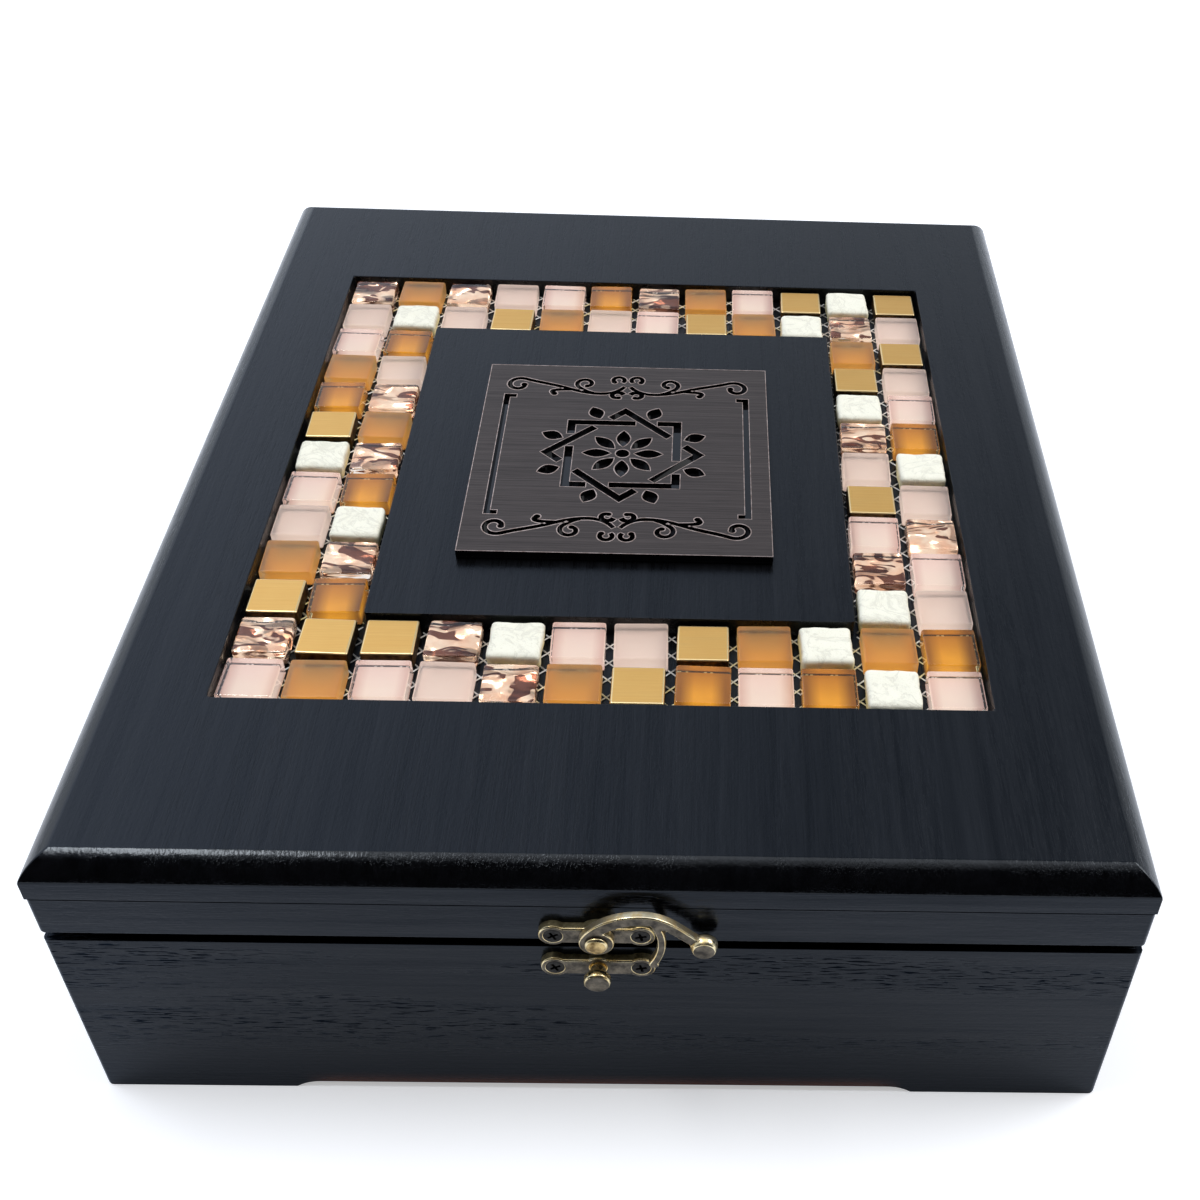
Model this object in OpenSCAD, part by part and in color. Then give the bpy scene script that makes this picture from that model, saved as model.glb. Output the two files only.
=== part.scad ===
// Lidded wooden book box: black-stained boards, a mosaic border let into the lid,
// a cut-through plaque and a cast swing-hook latch.
// Millimetres. Origin under the centre of the box, +X right, +Y to the back, +Z up.

/* [Box] */
// Width of the box, left to right
box_w = 264; // [240:1:320]
// Depth of the box, front to back
box_d = 333; // [290:1:400]
// Height of the box walls
wall_h = 62.2; // [45:0.1:100]
// Thickness of the box walls and the lid rails
wall_t = 10; // [9:0.5:14]
// Height of the cut-out between the corner feet
foot_cut_h = 2.4; // [1:0.1:3.5]
// Length of each corner foot along its wall
foot_len = 50; // [30:1:80]
// Radius of the curved ends of the cut-out
foot_end_r = 10; // [4:0.5:20]
// Height of the bottom panel's underside above the table
bottom_z = 6; // [5:0.5:12]
// Thickness of the bottom panel
bottom_t = 4; // [3:0.5:6]
// Depth of the groove that holds the bottom panel
groove_d = 5; // [3:0.5:6]
// Thickness of the felt lining on the bottom panel
lining_t = 1.5; // [1:0.5:3]

/* [Lid] */
// Height of the lid rails
rail_h = 12.5; // [10:0.5:20]
// Thickness of the lid panel
panel_t = 11.4; // [10:0.1:16]
// Width of the bevel round the lid panel, seen from above
bevel_w = 6.4; // [3:0.1:9]
// Height of the bevel
bevel_h = 5.4; // [3:0.1:8]
// How far the bevel bulges out from a straight slope
bevel_bulge = 0.8; // [0.3:0.1:1.2]
// Radius of the felt bumpers on the front wall
bumper_r = 3; // [2:0.5:4]
// Distance of a bumper from the box's side
bumper_inset = 14; // [12:1:30]

/* [Mosaic] */
// Side of a glass chip
chip_side = 14.5; // [12:0.1:15.5]
// Side of a brass chip
brass_side = 14; // [11:0.1:15]
// Side of a marble chip
marble_side = 14.3; // [11:0.1:15]
// Width of the joint between glass chips
joint_w = 2.2; // [1.6:0.1:3]
// Height of the glass chips
glass_t = 5; // [3:0.1:6]
// Height of the brass chips
brass_t = 4.6; // [3:0.1:6]
// Height of the marble chips
marble_t = 5.4; // [3:0.1:6]
// Chamfer of the glass and brass chips
chip_chamfer = 0.5; // [0.2:0.1:1]
// Chamfer of the tumbled marble chips
marble_chamfer = 1.1; // [0.4:0.1:1.6]
// Depth of the channel in the lid
channel_depth = 6.2; // [6:0.1:8]
// Space between the outer chips and the channel's walls
channel_clear = 1.3; // [0.6:0.1:2.5]
// Radius of the channel's corners
channel_corner_r = 1; // [0.5:0.1:2]
// Thickness of the backing net
net_t = 0.5; // [0.3:0.1:1]
// Width of the net's strands
strand_w = 1.2; // [0.6:0.1:1.6]
// Offset of the mosaic from the lid's centre, to the right
mosaic_x = -1.2; // [-3:0.1:3]
// Offset of the mosaic from the lid's centre, to the back
mosaic_y = -0.8; // [-3:0.1:3]

/* [Plaque] */
// Width of the plaque
plaque_w = 89.4; // [86:0.1:110]
// Length of the plaque, front to back
plaque_l = 98.3; // [92:0.1:120]
// Thickness of the gloss backing
backing_t = 1; // [0.5:0.1:2]
// Thickness of the brushed face
face_t = 2; // [1:0.1:3]
// Offset of the plaque from the mosaic's centre, to the back
plaque_y = -1.8; // [-4:0.1:4]
// Distance from the scroll border's centre line to the plaque's side
border_side = 6.8; // [6:0.1:10]
// Distance from the scroll border's centre line to the plaque's front and back
border_end = 12.2; // [11:0.1:16]
// Distance from the end scrolls' centre line to the ends of the side bars
bar_drop = 5.4; // [4.5:0.1:9]
// Length of the hooked ends of the side bars
bar_hook = 2.8; // [2:0.1:5]
// Width of the cut scroll lines
scroll_w = 1.5; // [0.9:0.1:1.7]
// Radius of the rosette
rosette_r = 27; // [22:0.5:28]
// Width of the cut lines of the rosette's star
star_w = 2.2; // [1.4:0.1:2.6]
// Width of the bridges where the star's lines cross
star_bridge = 0.9; // [0.6:0.1:1.4]

/* [Latch] */
// Offset of the latch from the box's centre, to the right
latch_x = -0.3; // [-5:0.1:5]
// Height of the hook's pivot above the rail's lower edge
pivot_up = 4.1; // [3.6:0.1:6]
// Distance from the hook's pivot down to the catch knob
pivot_to_knob = 12.2; // [11:0.1:13]
// Distance between the two screws of a latch plate
plate_screw_gap = 20.8; // [18:0.1:26]
// Radius of a latch plate's round ends
plate_end_r = 3.5; // [3:0.1:3.6]
// Half the height of a latch plate's waist
plate_waist = 2.7; // [2:0.1:3]
// Thickness of the latch plates
plate_t = 2.1; // [1.5:0.1:3]
// Thickness of the hook
hook_t = 2; // [1.5:0.1:3]
// Radius of the hook's eye
hook_eye_r = 4.2; // [3.6:0.1:5]
// Height of the hook's arch above its pivot
arch_up = 8.6; // [7.6:0.1:10]
// Distance of the arch's top to the right of the pivot
arch_reach = 10.6; // [9:0.1:12]
// Width of the arch at the eye
arch_w = 3.6; // [2.6:0.1:4]
// Width of the arch at the tail
tail_w = 2.6; // [1.8:0.1:3.4]
// Distance of the tail to the right of the pivot
tail_reach = 25.4; // [22:0.1:30]
// Distance of the tail below the pivot
tail_drop = 1; // [0:0.1:3]
// Width of the hook's finger
finger_w = 2; // [1.4:0.1:2.6]
// Radius of the round tail of the hook
tail_r = 3.3; // [2.6:0.1:4]
// How far the tail stands out in front of the hook
tail_proud = 1.1; // [0.4:0.1:1.6]
// Radius of the rivet that carries the hook
rivet_r = 1.5; // [1:0.1:1.8]
// Radius of the rivet's head
rivet_head_r = 2.8; // [2.2:0.1:3.4]
// Height of the rivet's head
rivet_head_h = 1.1; // [0.6:0.1:1.6]
// Height of the straight rim of the rivet's head
rivet_rim = 0.2; // [0.1:0.05:0.4]
// Radius of the catch knob's neck
neck_r = 1.9; // [1.4:0.1:2.2]
// Radius of the catch knob's head
knob_r = 3.3; // [2.8:0.1:3.8]
// Length of the catch knob's head
knob_h = 2.4; // [1.8:0.1:4]
// Radius of a latch screw's head
latch_screw_head_r = 2.4; // [2:0.1:2.6]
// Radius of a latch screw's shank
latch_screw_r = 1.3; // [1:0.1:1.5]
// Length of a latch screw
latch_screw_l = 9; // [6:0.5:10]

/* [Hinges] */
// Distance from the box's side to the middle of a hinge
hinge_inset = 50; // [37:1:82]
// Length of a hinge
hinge_len = 32; // [26:1:45]
// Length of a hinge's middle knuckle
knuckle_mid = 11; // [8:0.5:14]
// Radius of the knuckles
knuckle_r = 2.4; // [2:0.1:2.8]
// Radius of the hinge pins
hinge_pin_r = 0.9; // [0.7:0.1:1.1]
// Thickness of a hinge leaf
leaf_t = 1.2; // [1.1:0.1:2]
// Width of a hinge leaf on the wood
leaf_w = 8.6; // [7:0.1:8.8]
// How far the stop heel's back and ends lie inside the knuckle's
heel_step = 0.3; // [0.2:0.1:0.8]
// Angle at which the hinge's heel stops the lid
lid_open = 95; // [90:1:110]
// Radius of a hinge screw's head
hinge_screw_head_r = 1.9; // [1.6:0.1:2]
// Radius of a hinge screw's shank
hinge_screw_r = 0.9; // [0.8:0.1:1.1]
// Length of a hinge screw
hinge_screw_l = 9; // [6:0.5:9.5]
// Distance of a hinge screw from the hinge's middle
hinge_screw_x = 10; // [8:0.5:10.5]

/* [Fits] */
// Clearance of pins, rivets and screws in their holes
pin_fit = 0.05; // [0.02:0.01:0.1]
// Clearance of the bottom panel in its groove
panel_fit = 0.2; // [0.1:0.05:0.4]
// Clearance of soft pieces from the wood
soft_fit = 0.4; // [0.2:0.1:1]
// Clearance between the two leaves of a closed hinge
leaf_fit = 0.2; // [0.1:0.05:0.4]
// Clearance between the knuckles, and between them and the wood
knuckle_fit = 0.4; // [0.2:0.05:0.6]
// Clearance of the hinge's heel from the back wall when the lid is open
heel_fit = 0.1; // [0.05:0.05:0.2]
// Clearance of the hook from its plate, its rivet's head and the catch knob
hook_fit = 0.3; // [0.15:0.05:0.4]

/* [Hidden] */
$fn = 64;

// Chips by kind, back row first: R rose foil, P frosted pink, p clear pink,
// A frosted amber, a clear amber, B brass, M marble, and a point for the island
layout = [
  "RARPpaRApBMB",
  "PMPBAPpBAMRP",
  "pa........AB",
  "AP........BP",
  "aR........Mp",
  "BA........Ra",
  "MR........PM",
  "pa........BP",
  "PM........pR",
  "AR........Rp",
  "Ba........MP",
  "RBBRMpPBAMAa",
  "pApPRABapaMp"
];
rows = len(layout);
cols = len(layout[0]);
ring_chips = 2;

// Sides of the rosette's star
star_fold = 8;

// Radius of the bead at a curl's end, for a line of width 1
bead = 0.65;

// Sides of the box in turn: front, right, back, left
front = 0;
right = 1;
back = 2;
left = 3;

// Extra length of a cutter past the face that it opens
over = 1;

// Heights up the box
lid_gap = 2 * leaf_t + leaf_fit;
lid_z = wall_h + lid_gap;
panel_z = lid_z + rail_h;
top_z = panel_z + panel_t;
channel_z = top_z - channel_depth;
chip_z = channel_z + net_t;

// Channel, island and chip grid
pitch = chip_side + joint_w;
channel_w = cols * pitch - joint_w + 2 * channel_clear;
channel_l = rows * pitch - joint_w + 2 * channel_clear;
ring_w = ring_chips * pitch - joint_w + 2 * channel_clear;
island_w = channel_w - 2 * ring_w;
island_l = channel_l - 2 * ring_w;

// Bevel: an arc through both edges of the slope
bevel_chord = norm([bevel_w, bevel_h]);
bevel_r = (pow(bevel_chord / 2, 2) + pow(bevel_bulge, 2)) / (2 * bevel_bulge);
bevel_centre = [bevel_w, -bevel_h] / 2
  + [bevel_h, -bevel_w] / bevel_chord * (bevel_r - bevel_bulge);

// Latch: distances out from the front face
pivot_z = lid_z + pivot_up;
knob_z = pivot_z - pivot_to_knob;
hook_out = plate_t + hook_fit;
hook_front = hook_out + hook_t;
finger_in_r = pivot_to_knob + neck_r + hook_fit;
finger_mid_r = finger_in_r + finger_w / 2;
tail_at = [tail_reach, -tail_drop];

// Hinge axis
hinge_off = knuckle_r + knuckle_fit;
hinge_x = box_w / 2 - hinge_inset;
hinge_y = box_d / 2 + hinge_off;
hinge_z = wall_h + lid_gap / 2;
knuckle_end = (hinge_len - knuckle_mid) / 2 - knuckle_fit;
hinge_screw_y = -hinge_off - leaf_w / 2;

function side_len(i) = i % 2 == 0 ? box_w : box_d;
function side_out(i) = (i % 2 == 0 ? box_d : box_w) / 2;
function on_ring(r, c) =
  r < ring_chips || r >= rows - ring_chips || c < ring_chips || c >= cols - ring_chips;
function chip_at(r, c) = [
  mosaic_x + (c - (cols - 1) / 2) * pitch,
  mosaic_y + ((rows - 1) / 2 - r) * pitch
];

// Curves for the cut ornament and the hook
function bezier(p, t) =
  pow(1 - t, 3) * p[0] + 3 * t * pow(1 - t, 2) * p[1]
  + 3 * t * t * (1 - t) * p[2] + pow(t, 3) * p[3];
function bezier_path(p, n) = [for (i = [0:n]) bezier(p, i / n)];
function spiral_path(centre, r0, r1, a0, a1, n) = [
  for (i = [0:n])
    let (f = i / n, r = r0 + (r1 - r0) * f, a = a0 + (a1 - a0) * f)
      centre + r * [cos(a), sin(a)]
];
function heading(p, i) =
  let (d = p[min(i + 1, len(p) - 1)] - p[max(i - 1, 0)]) d / norm(d);
function edge_path(p, w0, w1, side) = [
  for (i = [0:len(p) - 1])
    let (d = heading(p, i), w = w0 + (w1 - w0) * i / (len(p) - 1))
      p[i] + side * w / 2 * [-d[1], d[0]]
];
function reversed(p) = [for (i = [len(p) - 1:-1:0]) p[i]];
function inner(p) = [for (i = [1:len(p) - 2]) p[i]];

// A band of tapering width along a path
module ribbon(path, w0, w1) {
  polygon(concat(edge_path(path, w0, w1, 1), reversed(edge_path(path, w0, w1, -1))));
}

module rounded_rect(w, l, r) {
  square([w - 2 * r, l], center = true);
  square([w, l - 2 * r], center = true);
  for (x = [-1, 1], y = [-1, 1])
    translate([x * (w / 2 - r), y * (l / 2 - r)]) circle(r);
}

// Turns a piece drawn with its outer face on y = 0 to one side of the box
module on_side(i) {
  rotate([0, 0, 90 * i]) translate([0, -side_out(i), 0]) children();
}

// Stands a drawing on the front face: its X stays, its Y goes up, its Z comes out
module on_front(z) {
  translate([latch_x, -box_d / 2, z]) rotate([90, 0, 0]) children();
}

module at_hinge(side) {
  translate([side * hinge_x, hinge_y, hinge_z]) children();
}

// A screw with its flat face on z = 0, pointing down; grow makes its hole
module countersunk_screw(head_r, shank_r, length, grow = 0) {
  cone_h = head_r - shank_r;
  translate([0, 0, -cone_h])
    cylinder(r1 = shank_r + grow, r2 = head_r + grow, h = cone_h);
  translate([0, 0, -length - grow]) cylinder(r = shank_r + grow, h = length);
}

module latch_screw(grow = 0) {
  countersunk_screw(latch_screw_head_r, latch_screw_r, latch_screw_l, grow);
}

module hinge_screw(grow = 0) {
  countersunk_screw(hinge_screw_head_r, hinge_screw_r, hinge_screw_l, grow);
}

module at_latch_screws(z) {
  for (s = [-1, 1])
    on_front(z) translate([s * plate_screw_gap / 2, 0, plate_t]) children();
}

// Hinge screws of the box go down through the lower leaf
module at_box_hinge_screws() {
  for (side = [-1, 1], s = [-1, 1])
    at_hinge(side)
      translate([s * hinge_screw_x, hinge_screw_y, leaf_t - lid_gap / 2]) children();
}

// Hinge screws of the lid go up through the upper leaf
module at_lid_hinge_screws() {
  for (side = [-1, 1], s = [-1, 1])
    at_hinge(side)
      translate([s * hinge_screw_x, hinge_screw_y, lid_gap / 2 - leaf_t])
        rotate([180, 0, 0]) children();
}

// A board with its ends mitred to meet its neighbours
module mitred_board(length, height) {
  linear_extrude(height)
    polygon([
      [-length / 2, 0], [length / 2, 0],
      [length / 2 - wall_t, wall_t], [-length / 2 + wall_t, wall_t]
    ]);
}

module foot_cut(length) {
  end_run = sqrt(2 * foot_end_r * foot_cut_h - pow(foot_cut_h, 2));
  flat_half = length / 2 - foot_len - end_run;
  translate([0, wall_t + over, 0])
    rotate([90, 0, 0])
      linear_extrude(wall_t + 2 * over) {
        translate([-flat_half, -over]) square([2 * flat_half, foot_cut_h + over]);
        for (s = [-1, 1])
          translate([s * flat_half, foot_cut_h - foot_end_r]) circle(foot_end_r);
      }
}

module bottom_groove(length) {
  translate([-length / 2, wall_t - groove_d, bottom_z])
    cube([length, groove_d + over, bottom_t + panel_fit]);
}

module wall(i) {
  on_side(i)
    difference() {
      mitred_board(side_len(i), wall_h);
      foot_cut(side_len(i));
      bottom_groove(side_len(i));
    }
}

module rail(i) {
  on_side(i) translate([0, 0, lid_z]) mitred_board(side_len(i), rail_h);
}

module front_wall() {
  color("#24262d")
    difference() {
      wall(front);
      at_latch_screws(knob_z) latch_screw(pin_fit);
    }
}

module back_wall() {
  color("#24262d")
    difference() {
      wall(back);
      at_box_hinge_screws() hinge_screw(pin_fit);
    }
}

module left_wall() {
  color("#24262d") wall(left);
}

module right_wall() {
  color("#24262d") wall(right);
}

module bottom_panel() {
  inset = wall_t - groove_d + panel_fit;
  color("#3a2a20")
    translate([inset - box_w / 2, inset - box_d / 2, bottom_z])
      cube([box_w - 2 * inset, box_d - 2 * inset, bottom_t]);
}

module base_lining() {
  inset = wall_t + soft_fit;
  color("#3b1216")
    translate([inset - box_w / 2, inset - box_d / 2, bottom_z + bottom_t])
      cube([box_w - 2 * inset, box_d - 2 * inset, lining_t]);
}

module lid_bumpers() {
  color("#1a1a1a")
    for (s = [-1, 1])
      translate([s * (box_w / 2 - bumper_inset), (wall_t - box_d) / 2, wall_h])
        cylinder(r = bumper_r, h = lid_gap - soft_fit);
}

module lid_front_rail() {
  color("#24262d")
    difference() {
      rail(front);
      at_latch_screws(pivot_z) latch_screw(pin_fit);
    }
}

module lid_back_rail() {
  color("#24262d")
    difference() {
      rail(back);
      at_lid_hinge_screws() hinge_screw(pin_fit);
    }
}

module lid_left_rail() {
  color("#24262d") rail(left);
}

module lid_right_rail() {
  color("#24262d") rail(right);
}

// Waste along one edge of the lid: the corner outside the bevel's arc
module bevel_waste(i) {
  length = side_len(i) + 2 * over;
  on_side(i)
    translate([0, 0, top_z])
      difference() {
        translate([-length / 2, -over, -bevel_h])
          cube([length, bevel_w + over, bevel_h + over]);
        translate([0, bevel_centre[0], bevel_centre[1]])
          rotate([0, 90, 0]) cylinder(r = bevel_r, h = length + 2 * over, center = true);
      }
}

module lid_panel() {
  color("#262931")
    difference() {
      translate([-box_w / 2, -box_d / 2, panel_z]) cube([box_w, box_d, panel_t]);
      for (i = [front, right, back, left]) bevel_waste(i);
      translate([mosaic_x, mosaic_y, channel_z])
        linear_extrude(channel_depth + over)
          difference() {
            rounded_rect(channel_w, channel_l, channel_corner_r);
            rounded_rect(island_w, island_l, channel_corner_r);
          }
    }
}

// A square net with two gaps to the pitch, under the chips and their joints
module mosaic_net() {
  gap = pitch / 2 - strand_w;
  color("#d8d6cc")
    translate([0, 0, channel_z])
      linear_extrude(net_t)
        difference() {
          translate([mosaic_x, mosaic_y])
            difference() {
              square([channel_w - 2 * soft_fit, channel_l - 2 * soft_fit], center = true);
              square([island_w + 2 * soft_fit, island_l + 2 * soft_fit], center = true);
            }
          for (r = [0:0.5:rows - 1], c = [0:0.5:cols - 1])
            if (on_ring(floor(r), floor(c)) && on_ring(floor(r), ceil(c))
                && on_ring(ceil(r), floor(c)) && on_ring(ceil(r), ceil(c)))
              translate(chip_at(r, c)) square(gap, center = true);
        }
}

// A chip with chamfered top edges
module chip(side, height, chamfer) {
  module profile() {
    polygon([
      [-side / 2, 0], [side / 2, 0],
      [side / 2, height - chamfer], [side / 2 - chamfer, height],
      [-side / 2 + chamfer, height], [-side / 2, height - chamfer]
    ]);
  }
  intersection() {
    rotate([90, 0, 0]) linear_extrude(side, center = true) profile();
    rotate([90, 0, 90]) linear_extrude(side, center = true) profile();
  }
}

// All chips of one kind
module chips(kind, side, height, chamfer) {
  for (r = [0:rows - 1], c = [0:cols - 1])
    if (layout[r][c] == kind)
      translate(concat(chip_at(r, c), chip_z)) chip(side, height, chamfer);
}

module chips_rose_foil() {
  color("#c3967f") chips("R", chip_side, glass_t, chip_chamfer);
}

module chips_frosted_pink() {
  color("#dec8c3") chips("P", chip_side, glass_t, chip_chamfer);
}

module chips_clear_pink() {
  color("#f0d7cd") chips("p", chip_side, glass_t, chip_chamfer);
}

module chips_frosted_amber() {
  color("#be8c55") chips("A", chip_side, glass_t, chip_chamfer);
}

module chips_clear_amber() {
  color("#c88232") chips("a", chip_side, glass_t, chip_chamfer);
}

module chips_brass() {
  color("#d7b45f") chips("B", brass_side, brass_t, chip_chamfer);
}

module chips_marble() {
  color("#f5f5eb") chips("M", marble_side, marble_t, marble_chamfer);
}

module on_plaque(z) {
  translate([mosaic_x, mosaic_y + plaque_y, top_z + z]) children();
}

module plaque_backing() {
  color("#0c0c0e")
    on_plaque(0) linear_extrude(backing_t) square([plaque_w, plaque_l], center = true);
}

// A band with a round bead at its far end
module curl(path, w0, w1) {
  ribbon(path, w0, w1);
  translate(path[len(path) - 1]) circle(w1 * bead);
}

// Half of one end scroll, drawn to the right of its centre with its outer side up:
// a wave from the middle to a spiral at the corner, with curls and a leaf tip on it
module half_scroll() {
  reach = plaque_w / 2 - border_side;
  fine = scroll_w * 0.7;
  bold = scroll_w * 0.8;
  middle = [1, 0.2];
  stem_root = [0.25 * reach, -3.9];
  loop_at = [0.355 * reach, 1.8];
  crest = [0.49 * reach, -1.4];
  corner_at = [reach - 3.2, 0.4];
  corner = spiral_path(corner_at, 3.9, 1.6, 118, -185, 20);
  loop = spiral_path(loop_at, 3, 1.5, -45, 250, 16);
  trough = bezier_path([middle, [0.12 * reach, -5.6], [0.3 * reach, -4.6], crest], 10);
  rise = bezier_path([crest, crest + [5.6, 2.6], corner[0] - [5, 2.2], corner[0]], 9);
  stem = bezier_path([stem_root, stem_root + [3, 0.5], loop[0] - [1.6, 1.6], loop[0]], 6);
  tip = bezier_path(
    [crest - [1.5, 0.4], crest + [2, -0.6], crest + [7.4, -0.4], crest + [4.6, -3]], 10);
  curl(concat(trough, inner(rise), corner), fine, bold);
  curl(concat(inner(stem), loop), fine, fine);
  curl(tip, fine, bold);
  curl(spiral_path([3.1, -4.9], 2.1, 1.3, 160, -110, 14), scroll_w, fine);
  curl(spiral_path([2.9, 4.2], 1.8, 1.8, 225, -40, 12), fine, fine);
}

// A straight bar along each side, hooked inwards at its ends
module side_bar() {
  reach = plaque_w / 2 - border_side;
  bar_half = plaque_l / 2 - border_end - bar_drop;
  translate([reach - scroll_w / 2, -bar_half]) square([scroll_w, 2 * bar_half]);
  for (s = [-1, 1])
    translate([reach - bar_hook, s * (bar_half - scroll_w / 2) - scroll_w / 2])
      square([bar_hook, scroll_w]);
}

// A pointed leaf along Y from r0 to r1
module leaf_cut(r0, r1, width) {
  steps = 10;
  side = [for (i = [0:steps]) [sin(180 * i / steps) * width / 2, r0 + (r1 - r0) * i / steps]];
  polygon(concat(side, [for (i = [steps - 1:-1:1]) [-side[i][0], side[i][1]]]));
}

// One side of the interlaced star, broken where it passes under the next side
module star_side(corner_r) {
  half = corner_r / sqrt(2);
  cross = half * tan(180 / star_fold);
  turn = 360 / star_fold;
  broken = star_w / 2 * (1 / sin(turn) + 1 / tan(turn)) + star_bridge;
  end = half + star_w / 2;
  translate([-end, half - star_w / 2]) square([end + cross - broken, star_w]);
  translate([cross + broken, half - star_w / 2]) square([end - cross - broken, star_w]);
}

// An eight-pointed interlaced star with leaves between its points and a flower inside
module rosette() {
  star_r = rosette_r * 0.86;
  leaf_root = star_r * 0.88;
  leaf_width = 4.2;
  petal_root = star_r * 0.16;
  petal_tip = star_r * 0.52;
  petal_width = 3.8;
  eye_r = star_r * 0.08;
  for (k = [0:star_fold - 1])
    rotate(k * 360 / star_fold) {
      star_side(star_r);
      rotate(180 / star_fold) leaf_cut(leaf_root, rosette_r, leaf_width);
      leaf_cut(petal_root, petal_tip, petal_width);
    }
  circle(eye_r);
}

module plaque_face() {
  color("#3a3230")
    on_plaque(backing_t)
      difference() {
        linear_extrude(face_t) square([plaque_w, plaque_l], center = true);
        translate([0, 0, -over])
          linear_extrude(face_t + 2 * over) {
            rosette();
            for (m = [0, 1])
              mirror([m, 0]) {
                side_bar();
                for (n = [0, 1])
                  mirror([0, n]) translate([0, plaque_l / 2 - border_end]) half_scroll();
              }
          }
      }
}

// Outline of a latch plate: round ends on a waisted bar, round in the middle
module plate_outline(middle_r) {
  square([plate_screw_gap, 2 * plate_waist], center = true);
  for (s = [-1, 1]) translate([s * plate_screw_gap / 2, 0]) circle(plate_end_r);
  circle(middle_r);
}

module hook_plate() {
  color("#8a744a")
    difference() {
      on_front(pivot_z) linear_extrude(plate_t) plate_outline(pivot_up);
      on_front(pivot_z)
        translate([0, 0, -over]) cylinder(r = rivet_r + pin_fit, h = plate_t + 2 * over);
      at_latch_screws(pivot_z) latch_screw(pin_fit);
    }
}

module hook_rivet() {
  seat = hook_front + hook_fit;
  dome_h = rivet_head_h - rivet_rim;
  dome_r = (pow(rivet_head_r, 2) + pow(dome_h, 2)) / (2 * dome_h);
  color("#a08858")
    on_front(pivot_z) {
      cylinder(r = rivet_r, h = seat);
      intersection() {
        translate([0, 0, seat]) cylinder(r = rivet_head_r, h = rivet_head_h);
        translate([0, 0, seat + rivet_head_h - dome_r]) sphere(dome_r, $fn = 96);
      }
    }
}

// The hook as photographed, swung open to the right: an arch from the eye to the
// tail, and a finger whose inner edge runs round the pivot
module hook_outline() {
  arch_root = [-2.4, 0.6];
  arch_top = [arch_reach, arch_up];
  finger_from = 34;
  finger_to = -30;
  finger_tip = finger_mid_r * [cos(finger_to), sin(finger_to)];
  tip_r = finger_w * 0.62;
  rise = bezier_path([arch_root, arch_root + [2, 4.6], arch_top - [6, 0], arch_top], 14);
  fall = bezier_path([arch_top, arch_top + [6.2, 0], tail_at + [-5.8, 4.2], tail_at], 14);
  circle(hook_eye_r);
  ribbon(concat(rise, inner(fall), [tail_at]), arch_w, tail_w);
  difference() {
    circle(finger_in_r + finger_w);
    circle(finger_in_r);
    polygon([
      [0, 0],
      for (a = [finger_from:30:360 + finger_to + 1]) 2 * finger_mid_r * [cos(a), sin(a)],
      2 * finger_tip
    ]);
  }
  translate(finger_tip * (1 + (tip_r - finger_w / 2) / finger_mid_r)) circle(tip_r);
  translate(tail_at) circle(tail_r * 0.8);
}

module swing_hook() {
  color("#8a744a")
    on_front(pivot_z)
      translate([0, 0, hook_out])
        difference() {
          union() {
            linear_extrude(hook_t) hook_outline();
            translate(tail_at)
              intersection() {
                translate([0, 0, hook_t / 2]) sphere(tail_r, $fn = 96);
                cylinder(r = 2 * tail_r, h = hook_t + tail_proud);
              }
          }
          translate([0, 0, -over]) cylinder(r = rivet_r + pin_fit, h = hook_t + 2 * over);
        }
}

module latch_screws_lid() {
  color("#2b2722") at_latch_screws(pivot_z) latch_screw();
}

module catch_plate() {
  color("#8a744a")
    difference() {
      on_front(knob_z) linear_extrude(plate_t) plate_outline(knob_r + hook_fit);
      on_front(knob_z)
        translate([0, 0, -over]) cylinder(r = neck_r + pin_fit, h = plate_t + 2 * over);
      at_latch_screws(knob_z) latch_screw(pin_fit);
    }
}

module catch_knob() {
  neck_l = hook_front + hook_fit;
  edge = 0.7;
  color("#a08858")
    on_front(knob_z)
      rotate_extrude()
        polygon([
          [0, 0], [neck_r, 0], [neck_r, neck_l], [knob_r - edge / 2, neck_l],
          [knob_r, neck_l + edge / 2], [knob_r, neck_l + knob_h - edge],
          [knob_r - edge, neck_l + knob_h], [0, neck_l + knob_h]
        ]);
}

module latch_screws_box() {
  color("#2b2722") at_latch_screws(knob_z) latch_screw();
}

module hinge_bore() {
  rotate([0, 90, 0])
    cylinder(r = hinge_pin_r + pin_fit, h = hinge_len + 2 * over, center = true);
}

// Lower leaf: on the back wall's top edge, with the two end knuckles
module hinge_box_leaf(side) {
  color("#a48a55")
    difference() {
      at_hinge(side)
        difference() {
          union() {
            translate([-hinge_len / 2, -hinge_off - leaf_w, -lid_gap / 2])
              cube([hinge_len, leaf_w, leaf_t]);
            for (s = [-1, 1])
              translate([s * (hinge_len - knuckle_end) / 2, 0, 0]) {
                translate([-knuckle_end / 2, -hinge_off, -lid_gap / 2])
                  cube([knuckle_end, hinge_off, leaf_t]);
                rotate([0, 90, 0]) cylinder(r = knuckle_r, h = knuckle_end, center = true);
              }
          }
          hinge_bore();
        }
      at_box_hinge_screws() hinge_screw(pin_fit);
    }
}

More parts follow.
